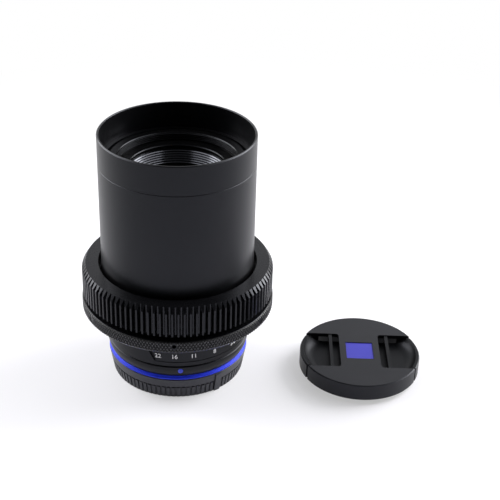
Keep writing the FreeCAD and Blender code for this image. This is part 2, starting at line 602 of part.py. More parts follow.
def repeat(body, feature, sketch, axis, count, pitch=None):
    """Repeats a feature round an axis of its sketch, all the way round or at a given pitch."""
    pattern = body.newObject("PartDesign::PolarPattern", f"{feature.Name}_repeated")
    pattern.Originals = [feature]
    pattern.Axis = (sketch, [axis])
    whole = as_size(360) if pitch is None else pitch * (count - 1)
    pattern.Angle = whole.value
    if pitch is not None:
        pattern.setExpression("Angle", whole.text)
    pattern.Occurrences = int(as_size(count).value)
    pattern.setExpression("Occurrences", as_size(count).text)
    body.Tip = pattern
    return pattern


def extruded(body, kind, name, sketch, length, upwards=True):
    """Pads or pockets a sketch by a length. A pocket is turned round so that it too goes upwards."""
    feature = add_feature(body, kind, name, sketch)
    feature.Length = as_size(length).value
    feature.setExpression("Length", as_size(length).text)
    feature.Reversed = upwards == (kind == "Pocket")
    return feature


def lens_element(name, front_level, front_curve, front_rim_radius, back_level, back_curve, back_rim_radius):
    """A round lens. A positive curve bulges to the front, a negative one to the back."""
    front_drop = surface_drop(front_curve, front_rim_radius)
    back_drop = surface_drop(back_curve, back_rim_radius)
    corners = [
        (0, back_level),
        (back_rim_radius, back_level - back_drop, -back_curve),
        (front_rim_radius, front_level - front_drop),
        (0, front_level, front_curve),
    ]
    return turned(name, corners)


def surface_drop(curve, rim_radius):
    """How far a spherical surface falls from its middle to its rim."""
    reach = root(curve * curve - rim_radius * rim_radius)
    return curve - reach if curve.value > 0 else curve + reach


def solid_group(name, shapes):
    """Identical fasteners or pins that share one node as separate solids."""
    group = document.addObject("Part::Feature", name)
    group.Label = name
    group.Shape = Part.makeCompound(shapes)
    nodes.append(group)
    return group


def ring_blocks(name, section, angle, first, pitch, count):
    """Blocks that share one node: a section of radius and height, turned through a small angle."""
    axis = FreeCAD.Vector(0, 0, 1)
    middle = FreeCAD.Vector(0, 0, 0)
    points = [FreeCAD.Vector(as_size(x).value, 0, as_size(z).value) for x, z in section]
    face = Part.Face(Part.makePolygon(points + points[:1]))
    blocks = []
    for index in range(int(count.value)):
        block = face.revolve(middle, axis, angle.value)
        block.rotate(middle, axis, first.value + pitch.value * index - angle.value / 2)
        blocks.append(block)
    return solid_group(name, blocks)


def ring_place(radius, angle, level):
    """A point on a circle round Z."""
    turn = math.radians(angle)
    return FreeCAD.Vector(radius * math.cos(turn), radius * math.sin(turn), level)


def rear_cap():
    """The cap that closes the camera side: ribbed grip, groove, smooth rim, tab and inner lugs."""
    def flank(level):
        return cap_base_radius + (cap_rim_radius - cap_base_radius) * level / cap_height

    groove_top = cap_groove_level + cap_groove_width
    inner = cap_rim_radius - cap_wall
    collar_top = flange_level - cap_collar_drop
    collar_bore = claw_radius + running_gap
    body = turned("rear_cap", [
        (0, 0),
        (cap_base_radius - cap_edge, 0),
        (flank(cap_edge), cap_edge),
        (flank(cap_groove_level), cap_groove_level),
        (flank(cap_groove_level) - cap_groove_depth, cap_groove_level),
        (flank(groove_top) - cap_groove_depth, groove_top),
        (flank(groove_top), groove_top),
        (flank(cap_height - cap_edge), cap_height - cap_edge),
        (cap_rim_radius - cap_edge, cap_height),
        (inner, cap_height),
        (inner, cap_floor),
        (cap_collar_radius, cap_floor),
        (cap_collar_radius, collar_top),
        (collar_bore, collar_top),
        (collar_bore, cap_floor),
        (0, cap_floor),
    ])
    rib_outline = [
        (cap_base_radius - cap_rib_depth, -past_face),
        (cap_rim_radius + outside, -past_face),
        (cap_rim_radius + outside, cap_groove_level + past_face),
        (flank(cap_groove_level) - cap_rib_depth, cap_groove_level + past_face),
    ]
    sector(body, "Groove", "rear_cap_rib_gap", rib_outline, 0, cap_rib_gap_angle, cap_rib_count)
    tab_outline = [
        (flank(cap_edge) - cap_rib_depth - root_depth, cap_edge),
        (flank(cap_edge) + cap_tab_height, cap_edge),
        (flank(cap_height - cap_edge) + cap_tab_height, cap_height - cap_edge),
        (flank(cap_height - cap_edge) - cap_rib_depth - root_depth, cap_height - cap_edge),
    ]
    sector(body, "Revolution", "rear_cap_tab", tab_outline, cap_tab_azimuth, cap_tab_angle)
    lug_foot = flange_level - throat_length + claw_thickness + ring_gap
    lug_outline = box_outline(
        throat_radius + running_gap, collar_bore + root_depth, lug_foot, lug_foot + cap_lug_thickness
    )
    sector(body, "Revolution", "rear_cap_lug", lug_outline, 0, cap_lug_angle, claw_count)


def bayonet_mount():
    """The metal plate and tube that lock into the camera."""
    bore = throat_radius - throat_wall
    foot = flange_level - throat_length
    body = turned("bayonet_mount", [
        (bore, foot),
        (throat_radius, foot),
        (throat_radius, flange_level),
        (plate_radius, flange_level),
        (plate_radius, plate_top),
        (bore, plate_top),
    ])
    claw = box_outline(throat_radius - root_depth, claw_radius, foot, foot + claw_thickness)
    sector(body, "Revolution", "mount_claw", claw, 0, claw_angle, claw_count)
    head_sketch = new_sketch(body, "mount_head_seat_outline", "XY_Plane", level=flange_level)
    draw_circle(head_sketch, screw_circle, 0, screw_head_radius + seat_gap)
    head_seat = extruded(body, "Pocket", "mount_head_seat", head_sketch, screw_head_height + seat_gap)
    repeat(body, head_seat, head_sketch, "N_Axis", screw_count)
    hole_sketch = new_sketch(body, "mount_screw_hole_outline", "XY_Plane", level=flange_level)
    draw_circle(hole_sketch, screw_circle, 0, screw_radius + seat_gap)
    hole = extruded(body, "Pocket", "mount_screw_hole", hole_sketch, plate_thickness + 1)
    repeat(body, hole, hole_sketch, "N_Axis", screw_count)


def mount_screws():
    """The slotted screws that hold the mount plate to the base ring."""
    screws = []
    for index in range(int(screw_count.value)):
        angle = 360 * index / screw_count.value
        place = ring_place(screw_circle.value, angle, flange_level.value)
        up = FreeCAD.Vector(0, 0, 1)
        head = Part.makeCylinder(screw_head_radius.value, screw_head_height.value, place, up)
        length = plate_thickness.value + screw_reach.value
        shank = Part.makeCylinder(screw_radius.value, length, place, up)
        slot_length = 2 * screw_head_radius.value + 1
        corner = place - FreeCAD.Vector(slot_length / 2, screw_slot_width.value / 2, 0)
        slot_depth = screw_head_height.value / 2
        slot = Part.makeBox(slot_length, screw_slot_width.value, slot_depth, corner, up)
        screws.append(head.fuse(shank).cut(slot).removeSplitter())
    solid_group("mount_screws", screws)


def contacts():
    """The block of spring contacts inside the mount's tube."""
    outer = throat_radius - throat_wall - running_gap
    foot = flange_level - throat_length + block_drop
    top = plate_top - baffle_thickness - seat_gap
    body = new_body("contact_block")
    outline = box_outline(outer - block_width, outer, foot, top)
    sector(body, "Revolution", "contact_block_body", outline, block_azimuth, block_angle)
    middle = outer - block_width / 2
    first = block_azimuth - contact_pitch * (contact_count - 1) / 2
    inner_face = middle - contact_width / 2
    outer_face = middle + contact_width / 2
    seat = box_outline(
        inner_face - seat_gap, outer_face + seat_gap,
        foot - outside, foot + contact_length - contact_reach + seat_gap
    )
    seat_angle = contact_angle + contact_seat_play
    sector(body, "Groove", "contact_seat", seat, first, seat_angle, contact_count, contact_pitch)
    pad_foot = foot - contact_reach
    pad = box_outline(inner_face, outer_face, pad_foot, pad_foot + contact_length)
    ring_blocks("contact_pins", pad, contact_angle, first, contact_pitch, contact_count)


def seal_ring():
    """The rubber seal round the mount plate, with a lip that flares out and down."""
    bore = plate_radius + plate_play
    lip = flange_level - seal_drop
    top = base_foot_level - seat_gap
    turned("seal_ring", [
        (bore, flange_level),
        (base_foot_radius + seal_foot_step, flange_level),
        (seal_lip_radius, lip),
        (seal_lip_radius, lip + seal_lip_thickness),
        (base_foot_radius, top, -seal_flank_radius),
        (bore, top),
    ])


def base_ring():
    """The fixed ring that carries the index dot, with a rounded flank."""
    body = turned("base_ring", [
        (tube_foot_bore, plate_top),
        (plate_radius + plate_play, plate_top),
        (plate_radius + plate_play, base_foot_level),
        (base_foot_radius, base_foot_level),
        (base_top_radius, base_top - base_edge, base_flank_radius),
        (base_top_radius - base_edge, base_top),
        (tube_foot_bore, base_top),
    ])
    sketch = new_sketch(body, "base_screw_hole_outline", "XY_Plane", level=plate_top)
    draw_circle(sketch, screw_circle, 0, screw_radius + seat_gap)
    hole = extruded(body, "Pocket", "base_screw_hole", sketch, screw_reach + seat_gap)
    repeat(body, hole, sketch, "N_Axis", screw_count)


def rear_baffle():
    """The plate with a rectangular window behind the last lens."""
    body = new_body("rear_baffle")
    level = plate_top - baffle_thickness
    disc_sketch = new_sketch(body, "rear_baffle_disc_outline", "XY_Plane", level=level)
    draw_circle(disc_sketch, 0, 0, throat_radius - throat_wall - seat_gap)
    extruded(body, "Pad", "rear_baffle_disc", disc_sketch, baffle_thickness)
    window_sketch = new_sketch(body, "rear_baffle_window_outline", "XY_Plane", level=level)
    half_width = baffle_window_width / 2
    half_height = baffle_window_height / 2
    draw_outline(window_sketch, box_outline(-half_width, half_width, -half_height, half_height))
    extruded(body, "Pocket", "rear_baffle_window", window_sketch, baffle_thickness + 1)


def main_tube():
    """The fixed tube on the base ring, with the link's slot, the key seats and the ball's hole."""
    body = turned("main_tube", [
        (tube_foot_bore, base_top),
        (tube_radius, base_top),
        (tube_radius, tube_top),
        (tube_bore, tube_top),
        (tube_bore, base_top + tube_foot_height),
        (tube_foot_bore, base_top + tube_foot_height),
    ])
    sweep = aperture_closes + aperture_opens + link_angle + 2
    middle = link_azimuth + (aperture_closes - aperture_opens) / 2
    slot_foot = base_top + link_foot_level - ring_gap
    slot_top = slot_foot + link_foot_height + ring_gap * 2
    slot_outline = box_outline(tube_bore - 1, tube_radius + 1, slot_foot, slot_top)
    sector(body, "Groove", "link_slot", slot_outline, middle, sweep)
    key_foot = tube_top - key_drop
    key_outline = box_outline(
        tube_bore - 1, tube_radius + 1, key_foot - seat_gap, key_foot + key_height + seat_gap
    )
    sector(body, "Groove", "key_seat", key_outline, 0, key_angle + key_seat_play, key_count)
    hole_sketch = tangent_sketch(body, "ball_hole_outline", click_azimuth, tube_bore - 1)
    draw_circle(hole_sketch, 0, base_top + click_level, click_ball_radius + seat_gap)
    extruded(body, "Pocket", "ball_hole", hole_sketch, tube_wall + 2)


def guide_keys():
    """The keys, seated in the main tube, that run in the sleeve's slots."""
    foot = tube_top - key_drop
    section = box_outline(tube_bore + seat_gap, sleeve_radius - seat_gap, foot, foot + key_height)
    ring_blocks("guide_keys", section, key_angle, as_size(0), as_size(360) / key_count, key_count)


def click_parts():
    """The ball and leaf spring that give the aperture ring its clicks."""
    ball = document.addObject("Part::Sphere", "click_ball")
    ball.Label = "click_ball"
    ball.Radius = click_ball_radius.value
    ball.setExpression("Radius", click_ball_radius.text)
    distance = tube_radius - click_ball_radius - click_ball_gap
    centre = ring_place(distance.value, click_azimuth.value, (base_top + click_level).value)
    ball.Placement = FreeCAD.Placement(centre, FreeCAD.Rotation())
    ball.setExpression("Placement.Base.x", (distance * cosine(click_azimuth)).text)
    ball.setExpression("Placement.Base.y", (distance * sine(click_azimuth)).text)
    ball.setExpression("Placement.Base.z", (base_top + click_level).text)
    nodes.append(ball)
    spring = new_body("click_spring")
    outer = tube_bore - seat_gap
    foot = base_top + click_level - spring_height / 2
    outline = box_outline(outer - spring_thickness, outer, foot, foot + spring_height)
    sector(spring, "Revolution", "click_spring_leaf", outline, click_azimuth, spring_angle)


def aperture_ring():
    """The ring with the aperture numbers on a sunken plate with slanted ends."""
    bore = tube_radius + running_gap
    foot_top = aperture_foot + aperture_foot_height
    groove_top = foot_top + aperture_groove_width
    body = turned("aperture_ring", [
        (bore, aperture_foot),
        (aperture_foot_radius - aperture_edge / 2, aperture_foot),
        (aperture_foot_radius, aperture_foot + aperture_edge / 2),
        (aperture_foot_radius, foot_top),
        (aperture_foot_radius - aperture_groove_depth, foot_top),
        (aperture_foot_radius - aperture_groove_depth, groove_top),
        (aperture_grip_radius, groove_top),
        (aperture_grip_radius, aperture_top - aperture_edge),
        (aperture_grip_radius - aperture_edge, aperture_top),
        (bore, aperture_top),
    ])
    above = aperture_top + outside
    plate_outline = box_outline(aperture_plate_radius, aperture_grip_radius + outside, groove_top, above)
    middle = plate_start + plate_angle / 2
    sector(body, "Groove", "number_plate", plate_outline, middle, plate_angle)
    plate_end = plate_start + plate_angle
    for name, azimuth, side in (("start", plate_start, 1), ("end", plate_end, -1)):
        middle = azimuth - plate_slant / 2 * side
        distance = aperture_plate_radius * cosine(plate_slant / 2)
        slant_sketch = tangent_sketch(body, f"plate_{name}_outline", middle, distance)
        reach = aperture_grip_radius * sine(plate_slant / 2) * side
        draw_outline(slant_sketch, [
            (reach, groove_top),
            (reach, above),
            (-reach, above),
        ])
        extruded(body, "Pocket", f"plate_{name}", slant_sketch, 2)
    track_foot = base_top + click_level - click_track_height / 2
    notch_outline = box_outline(
        bore - outside, bore + click_depth, track_foot, track_foot + click_track_height
    )
    first = click_azimuth - aperture_closes
    sector(body, "Groove", "click_notch", notch_outline, first, click_angle, click_count, click_pitch)


def aperture_link():
    """The bar that carries the aperture ring's turn through the main tube up to the iris."""
    inner = cell_radius + running_gap
    outer = inner + link_thickness
    foot = base_top + link_foot_level
    body = new_body("aperture_link")
    outline = [
        (inner, foot),
        (tube_radius + running_gap - link_play, foot),
        (tube_radius + running_gap - link_play, foot + link_foot_height),
        (outer, foot + link_foot_height),
        (outer, link_top),
        (inner, link_top),
    ]
    sector(body, "Revolution", "aperture_link_bar", outline, link_azimuth, link_angle)


def scale_ring():
    """The narrow fixed ring between the aperture ring and the focus ring."""
    turned("scale_ring", box_outline(tube_radius + seat_gap, scale_radius, scale_foot, scale_top))


def focus_ring():
    """The turning ring with its grip grooves, mostly under the hood."""
    bore = focus_radius - focus_wall
    body = turned("focus_ring", [
        (tube_radius + running_gap, focus_foot),
        (focus_radius, focus_foot),
        (focus_radius, focus_top - focus_edge),
        (focus_radius - focus_edge, focus_top),
        (bore, focus_top),
        (bore, focus_foot + focus_lip),
        (tube_radius + running_gap, focus_foot + focus_lip),
    ])
    grip_foot = focus_top - focus_grip_height
    outline = box_outline(
        focus_radius - focus_grip_depth, focus_radius + outside, grip_foot, focus_top + outside
    )
    sector(body, "Groove", "focus_grip", outline, 0, focus_grip_angle, focus_grip_count)


def gear_ring():
    """The follow focus ring: standard teeth with sloped front ends, and a hub for the clamp ring."""
    bore = focus_radius + seat_gap + insert_wall + gear_bore_play
    mouth_foot = gear_top - gear_mouth_depth
    hub_foot = clamp_foot + clamp_flange + 1
    body = turned("gear_ring", [
        (bore, hub_foot),
        (gear_hub_radius, hub_foot),
        (gear_hub_radius, gear_foot),
        (gear_tip_radius, gear_foot),
        (gear_tip_radius, gear_top - gear_chamfer_height),
        (gear_root_radius + gear_slope_end, gear_top),
        (gear_mouth_radius, gear_top),
        (gear_mouth_radius, mouth_foot),
        (bore, mouth_foot),
    ])
    sketch = new_sketch(body, "gear_gap_outline", "XY_Plane", level=gear_foot - past_face)
    root_half = gear_module * gear_gap_foot / 2
    mouth_half = gear_module * gear_gap_mouth / 2
    mouth = gear_tip_radius + gear_mouth_reach
    draw_outline(sketch, [
        (gear_root_radius, -root_half),
        (mouth, -mouth_half),
        (mouth, mouth_half),
        (gear_root_radius, root_half),
    ])
    gap = extruded(body, "Pocket", "gear_gap", sketch, gear_height + past_face * 2)
    repeat(body, gap, sketch, "N_Axis", gear_teeth)


def clamp_ring():
    """The ring that screws onto the hub and squeezes the insert, with spanner holes round it."""
    bore = gear_hub_radius + running_gap
    slope_top = clamp_foot + clamp_slope * clamp_slope_rise
    body = turned("clamp_ring", [
        (focus_radius + running_gap * 2, clamp_foot),
        (clamp_radius - clamp_slope, clamp_foot),
        (clamp_radius, slope_top),
        (clamp_radius, clamp_top - clamp_edge),
        (clamp_radius - clamp_edge, clamp_top),
        (bore, clamp_top),
        (bore, clamp_foot + clamp_flange),
        (focus_radius + running_gap * 2, clamp_foot + clamp_flange),
    ])
    sketch = tangent_sketch(body, "spanner_hole_outline", clamp_hole_azimuth, clamp_radius - clamp_hole_depth)
    draw_circle(sketch, 0, (clamp_top + slope_top) / 2, clamp_hole_radius)
    hole = extruded(body, "Pocket", "spanner_hole", sketch, clamp_hole_depth + outside)
    repeat(body, hole, sketch, "V_Axis", clamp_hole_count)


def clamp_insert():
    """The slotted insert between the toothed ring and the focus ring."""
    inner = focus_radius + seat_gap
    foot = clamp_foot + clamp_flange + insert_foot_gap
    top = gear_top - gear_mouth_depth - insert_top_gap
    body = turned("clamp_insert", box_outline(inner, inner + insert_wall, foot, top))
    outline = box_outline(
        inner - outside, inner + insert_wall + outside, foot + insert_root, top + outside
    )
    sector(body, "Groove", "insert_slot", outline, 0, insert_slot_angle, insert_slots)


def front_barrel():
    """The front barrel: hood bayonet outside, filter thread inside, and the sliding sleeve below."""
    bore = cell_radius + cell_play
    thread_foot = front_rim - filter_depth
    name_foot = thread_foot - name_ring_thickness
    sleeve_foot = shoulder - sleeve_length
    body = turned("front_barrel", [
        (sleeve_bore, sleeve_foot),
        (sleeve_radius, sleeve_foot),
        (sleeve_radius, shoulder),
        (barrel_radius - barrel_edge, shoulder),
        (barrel_radius, shoulder + barrel_edge),
        (barrel_radius, hood_seat - barrel_edge),
        (barrel_radius - barrel_edge, hood_seat),
        (hood_seat_radius, hood_seat),
        (hood_seat_radius, front_rim - rim_chamfer),
        (hood_seat_radius - rim_chamfer, front_rim),
        (filter_radius + rim_chamfer, front_rim),
        (filter_radius, front_rim - rim_chamfer),
        (filter_radius, thread_foot),
        (name_ring_radius, thread_foot),
        (name_ring_radius, name_foot),
        (bore, name_foot),
        (bore, web_foot),
        (sleeve_bore, web_foot),
    ])
    claw_top = front_rim - rim_chamfer * 2
    claw_foot = claw_top - hood_claw_thickness
    claw = box_outline(
        hood_seat_radius - root_depth, hood_seat_radius + hood_claw_height, claw_foot, claw_top
    )
    sector(body, "Revolution", "hood_claw", claw, hood_claw_azimuth, hood_claw_angle, hood_claw_count)
    key_foot = tube_top - key_drop
    slot_foot = key_foot - extension - key_slot_gap
    slot_top = key_foot + key_height + key_slot_gap
    slot = box_outline(sleeve_bore - outside, sleeve_radius + outside, slot_foot, slot_top)
    sector(body, "Groove", "key_slot", slot, 0, key_angle + key_play * 2, key_count)


def name_and_baffle():
    """The ring inside the filter thread and the ridged light baffle below it."""
    ring_top = front_rim - filter_depth
    ring_foot = ring_top - name_ring_thickness
    turned("name_ring", [
        (name_ring_bore, ring_foot),
        (name_ring_radius - seat_gap, ring_foot),
        (name_ring_radius - seat_gap, ring_top),
        (name_ring_bore + name_ring_edge, ring_top),
        (name_ring_bore, ring_top - name_ring_edge),
    ])
    top = ring_foot
    corners = [(light_baffle_radius, top)]
    for index in range(ridge_count):
        crest = light_baffle_bore - light_baffle_taper * index
        level = top - ridge_pitch * index
        corners.append((crest, level))
        corners.append((crest + ridge_depth, level - ridge_pitch / 2))
    last = light_baffle_bore - light_baffle_taper * ridge_count
    foot = top - ridge_pitch * ridge_count
    corners.append((last, foot))
    corners.append((light_baffle_radius, foot))
    corners.reverse()
    turned("light_baffle", corners)


def lens_groups():
    """The seven lens elements in three groups, their cells and retaining rings."""
    front_level = front_rim - front_recess
    front_semi = size("front_element_radius", 21.0, "front element")
    front_curve = size("front_element_curve", 62, "front surface of the front element")
    front_back_curve = size("front_element_back_curve", 300, "rear surface of the front element")
    front_thickness = size("front_element_thickness", 7.0, "front element")
    front_back = front_level - front_thickness
    lens_element(
        "front_element", front_level, front_curve, front_semi, front_back, -front_back_curve, front_semi
    )

    middle_semi = size("middle_group_radius", 17.5, "middle group")
    middle_gap = size("middle_group_gap", 2.2, "air in front of the middle group")
    second_thickness = size("second_element_thickness", 5.5, "second element")
    third_thickness = size("third_element_thickness", 3.7, "third element")
    fourth_thickness = size("fourth_element_thickness", 2.6, "fourth element")
    second_curve = size("second_element_curve", 38, "front surface of the second element")
    third_curve = size("third_element_curve", 140, "front surface of the third element")
    fourth_curve = size("fourth_element_curve", 150, "front surface of the fourth element")
    hollow_curve = size("fourth_element_back_curve", 21, "hollow rear surface of the fourth element")
    hollow_semi = size("fourth_element_back_radius", 13.4, "hollow rear surface of the fourth element")
    second_front = front_back - middle_gap
    second_back = second_front - second_thickness
    third_front = second_back - cement_gap
    third_back = third_front - third_thickness
    fourth_front = third_back - cement_gap
    fourth_back = fourth_front - fourth_thickness
    lens_element(
        "second_element", second_front, second_curve, middle_semi, second_back, third_curve, middle_semi
    )
    lens_element(
        "third_element", third_front, third_curve, middle_semi, third_back, -fourth_curve, middle_semi
    )
    lens_element(
        "fourth_element", fourth_front, -fourth_curve, middle_semi, fourth_back, hollow_curve, hollow_semi
    )

    iris_foot = web_foot - iris_drop
    rear_semi = size("rear_group_radius", 14.0, "rear group")
    fifth_thickness = size("fifth_element_thickness", 2.0, "fifth element")
    sixth_thickness = size("sixth_element_thickness", 8.4, "sixth element")
    seventh_thickness = size("seventh_element_thickness", 2.2, "seventh element")
    fifth_curve = size("fifth_element_curve", 60, "front surface of the fifth element")
    sixth_curve = size("sixth_element_curve", 26, "front surface of the sixth element")
    seventh_curve = size("seventh_element_curve", 34, "front surface of the seventh element")
    rear_curve = size("seventh_element_back_curve", 120, "rear surface of the seventh element")
    fifth_front = iris_foot - rear_air
    fifth_back = fifth_front - fifth_thickness
    sixth_front = fifth_back - cement_gap
    sixth_back = sixth_front - sixth_thickness
    seventh_front = sixth_back - cement_gap
    seventh_back = seventh_front - seventh_thickness
    lens_element(
        "fifth_element", fifth_front, fifth_curve, rear_semi, fifth_back, sixth_curve, rear_semi
    )
    lens_element(
        "sixth_element", sixth_front, sixth_curve, rear_semi, sixth_back, -seventh_curve, rear_semi
    )
    lens_element(
        "seventh_element", seventh_front, -seventh_curve, rear_semi, seventh_back, -rear_curve, rear_semi
    )

    cell_top = front_rim - filter_depth - name_ring_thickness
    cell_foot = iris_foot + iris_height
    baffle_foot = cell_top - ridge_pitch * ridge_count
    front_seat = front_back + surface_drop(front_back_curve, middle_semi + middle_step) - seat_gap
    middle_seat = fourth_front + surface_drop(fourth_curve, middle_semi) - seat_gap
    retainer_shelf = front_level - surface_drop(front_curve, front_semi)
    turned("front_cell", [
        (hollow_semi + hollow_lip, cell_foot),
        (cell_radius, cell_foot),
        (cell_radius, cell_top),
        (light_baffle_radius + seat_gap, cell_top),
        (light_baffle_radius + seat_gap, retainer_shelf),
        (front_semi + seat_gap, retainer_shelf),
        (front_semi + seat_gap, front_seat),
        (middle_semi + middle_step, front_seat),
        (middle_semi + middle_step, second_front - middle_shelf),
        (middle_semi + seat_gap, second_front - middle_shelf),
        (middle_semi + seat_gap, middle_seat),
        (hollow_semi + hollow_lip, middle_seat - (middle_semi - hollow_semi) * cone_slope),
    ])
    retainer_bore = front_semi - front_lip
    retainer_foot = front_level - surface_drop(front_curve, retainer_bore) + seat_gap
    turned("front_retainer", [
        (retainer_bore, retainer_foot),
        (light_baffle_radius, retainer_foot),
        (light_baffle_radius, baffle_foot),
        (retainer_bore + front_lip, baffle_foot),
        (retainer_bore, retainer_foot + front_lip),
    ])
    middle_bore = middle_semi - middle_lip
    middle_foot = second_front - surface_drop(second_curve, middle_bore) + seat_gap
    turned("middle_retainer", box_outline(
        middle_bore, middle_semi + middle_step - seat_gap, middle_foot, middle_foot + retainer_height
    ))
    rear_top = iris_foot - seat_gap
    rear_foot = seventh_back - rear_overhang
    rear_bore = rear_semi - rear_lip
    rear_seat = fifth_front - surface_drop(fifth_curve, rear_bore) + seat_gap
    turned("rear_cell", [
        (rear_semi + seat_gap, rear_foot),
        (rear_semi + rear_wall, rear_foot),
        (rear_semi + rear_wall, rear_top - rear_flange - rear_neck),
        (cell_radius - rear_play, rear_top - rear_flange),
        (cell_radius - rear_play, rear_top),
        (rear_bore, rear_top),
        (rear_bore, rear_seat),
        (rear_semi + seat_gap, rear_seat),
    ])
    retainer_top = seventh_back + surface_drop(rear_curve, rear_bore) - seat_gap
    turned("rear_retainer", box_outline(rear_bore, rear_semi, rear_foot + rear_recess, retainer_top))
    return iris_foot


def iris(iris_foot):
    """The iris: housing, pivot pins, ten blades and the ring that the link turns."""
    wall_inner = cell_radius - iris_wall
    floor_top = iris_foot + iris_floor
    top = iris_foot + iris_height
    drive_foot = top - drive_thickness - drive_drop
    housing = turned("iris_housing", [
        (iris_bore, iris_foot),
        (cell_radius, iris_foot),
        (cell_radius, top),
        (wall_inner, top),
        (wall_inner, floor_top),
        (iris_bore, floor_top),
    ])
    sweep = aperture_closes + aperture_opens + drive_fork_angle + fork_slot_play
    middle = link_azimuth + (aperture_closes - aperture_opens) / 2
    slot = box_outline(wall_inner - outside, cell_radius + outside, drive_foot - running_gap, top + outside)
    sector(housing, "Groove", "fork_slot", slot, middle, sweep)
    drive = turned("iris_drive_ring", box_outline(
        drive_bore, wall_inner - running_gap, drive_foot, drive_foot + drive_thickness
    ))
    fork_outer = cell_radius + running_gap + link_thickness
    drive_top = drive_foot + drive_thickness
    fork = box_outline(wall_inner - running_gap - root_depth, fork_outer, drive_foot, drive_top)
    sector(drive, "Revolution", "drive_fork", fork, link_azimuth, drive_fork_angle)
    mouth = box_outline(
        cell_radius + fork_root_gap, fork_outer + outside, drive_foot - outside, drive_top + outside
    )
    sector(drive, "Groove", "drive_fork_mouth", mouth, link_azimuth, link_angle + fork_play)

    pins = []
    for index in range(blade_count):
        level = floor_top + blade_lift + blade_pitch * index
        angle = as_size(360 * index / blade_count)
        iris_blade(index, level, angle)
        place = ring_place(blade_pivot.value, angle.value, floor_top.value)
        height = level.value + blade_thickness.value - floor_top.value
        pins.append(Part.makeCylinder(pin_radius.value, height, place))
    solid_group("iris_pins", pins)


def iris_blade(index, level, angle):
    """One blade: a flat crescent with a round eye at its pivot, turned in as at rest."""
    body = new_body(f"iris_blade_{index + 1:02d}")
    sketch = new_sketch(body, f"{body.Name}_outline", "XY_Plane", level=level)
    px = blade_pivot * cosine(angle)
    py = blade_pivot * sine(angle)
    heading = angle + blade_turn_rest
    centre_x = px - blade_pivot * cosine(heading)
    centre_y = py - blade_pivot * sine(heading)

    def on_arc(radius, beyond):
        direction = heading + beyond
        return centre_x + radius * cosine(direction), centre_y + radius * sine(direction)

    heel = -blade_heel
    draw_outline(sketch, [
        on_arc(blade_pivot + blade_eye, heel),
        (*on_arc(blade_pivot + blade_eye, blade_neck), blade_pivot + blade_eye),
        on_arc(blade_outer, blade_neck + blade_shoulder),
        (*on_arc(blade_outer, blade_span), blade_outer),
        on_arc(blade_inner, blade_span - blade_tip),
        (*on_arc(blade_inner, heel), -blade_inner),
    ])
    draw_circle(sketch, px, py, pin_radius + pin_gap, "eye")
    extruded(body, "Pad", f"{body.Name}_sheet", sketch, blade_thickness)


def hood():
    """The hood, turned back over the barrel: a thin tube and the bayonet ring inside it."""
    foot = hood_top - hood_length
    seam_top = hood_top - hood_seam_level
    turned("hood_tube", [
        (hood_bore, foot),
        (hood_radius - hood_chamfer, foot),
        (hood_radius, foot + hood_chamfer),
        (hood_radius, seam_top - hood_seam_width),
        (hood_radius - hood_seam_depth, seam_top - hood_seam_width / 2),
        (hood_radius, seam_top),
        (hood_radius, hood_top - hood_chamfer),
        (hood_radius - hood_chamfer, hood_top),
        (hood_bore + hood_inner_edge, hood_top),
        (hood_bore, hood_top - hood_inner_edge),
    ])
    ring_top = front_rim - hood_ring_drop
    ring_outer = hood_bore - seat_gap
    ring_bore = ring_outer - hood_ring_wall
    body = turned("hood_bayonet_ring", box_outline(
        ring_bore, ring_outer, ring_top - hood_ring_height, ring_top
    ))
    claw_foot = front_rim - rim_chamfer * 2 - hood_claw_thickness
    lug_top = claw_foot - hood_lug_gap
    lug = box_outline(
        hood_seat_radius + running_gap, ring_bore + root_depth, lug_top - hood_lug_thickness, lug_top
    )
    sector(body, "Revolution", "hood_lug", lug, hood_claw_azimuth, hood_lug_angle, hood_claw_count)


def place_beside(piece):
    """Moves a piece of the front cap to where the cap lies."""
    piece.Placement = FreeCAD.Placement(
        FreeCAD.Vector(front_cap_x.value, front_cap_y.value, 0), FreeCAD.Rotation()
    )
    piece.setExpression("Placement.Base.x", front_cap_x.text)
    piece.setExpression("Placement.Base.y", front_cap_y.text)


def recess_outline(side):
    """The outline of a finger recess, open at the rim and rounded at its two inner corners."""
    near = recess_inner * side
    turn = (recess_inner + recess_corner) * side
    far = (front_cap_radius + outside) * side
    curve = recess_corner * side
    return [
        (far, -recess_half_width),
        (far, recess_half_width),
        (turn, recess_half_width),
        (near, recess_half_width - recess_corner, curve),
        (near, recess_corner - recess_half_width),
        (turn, -recess_half_width, curve),
    ]


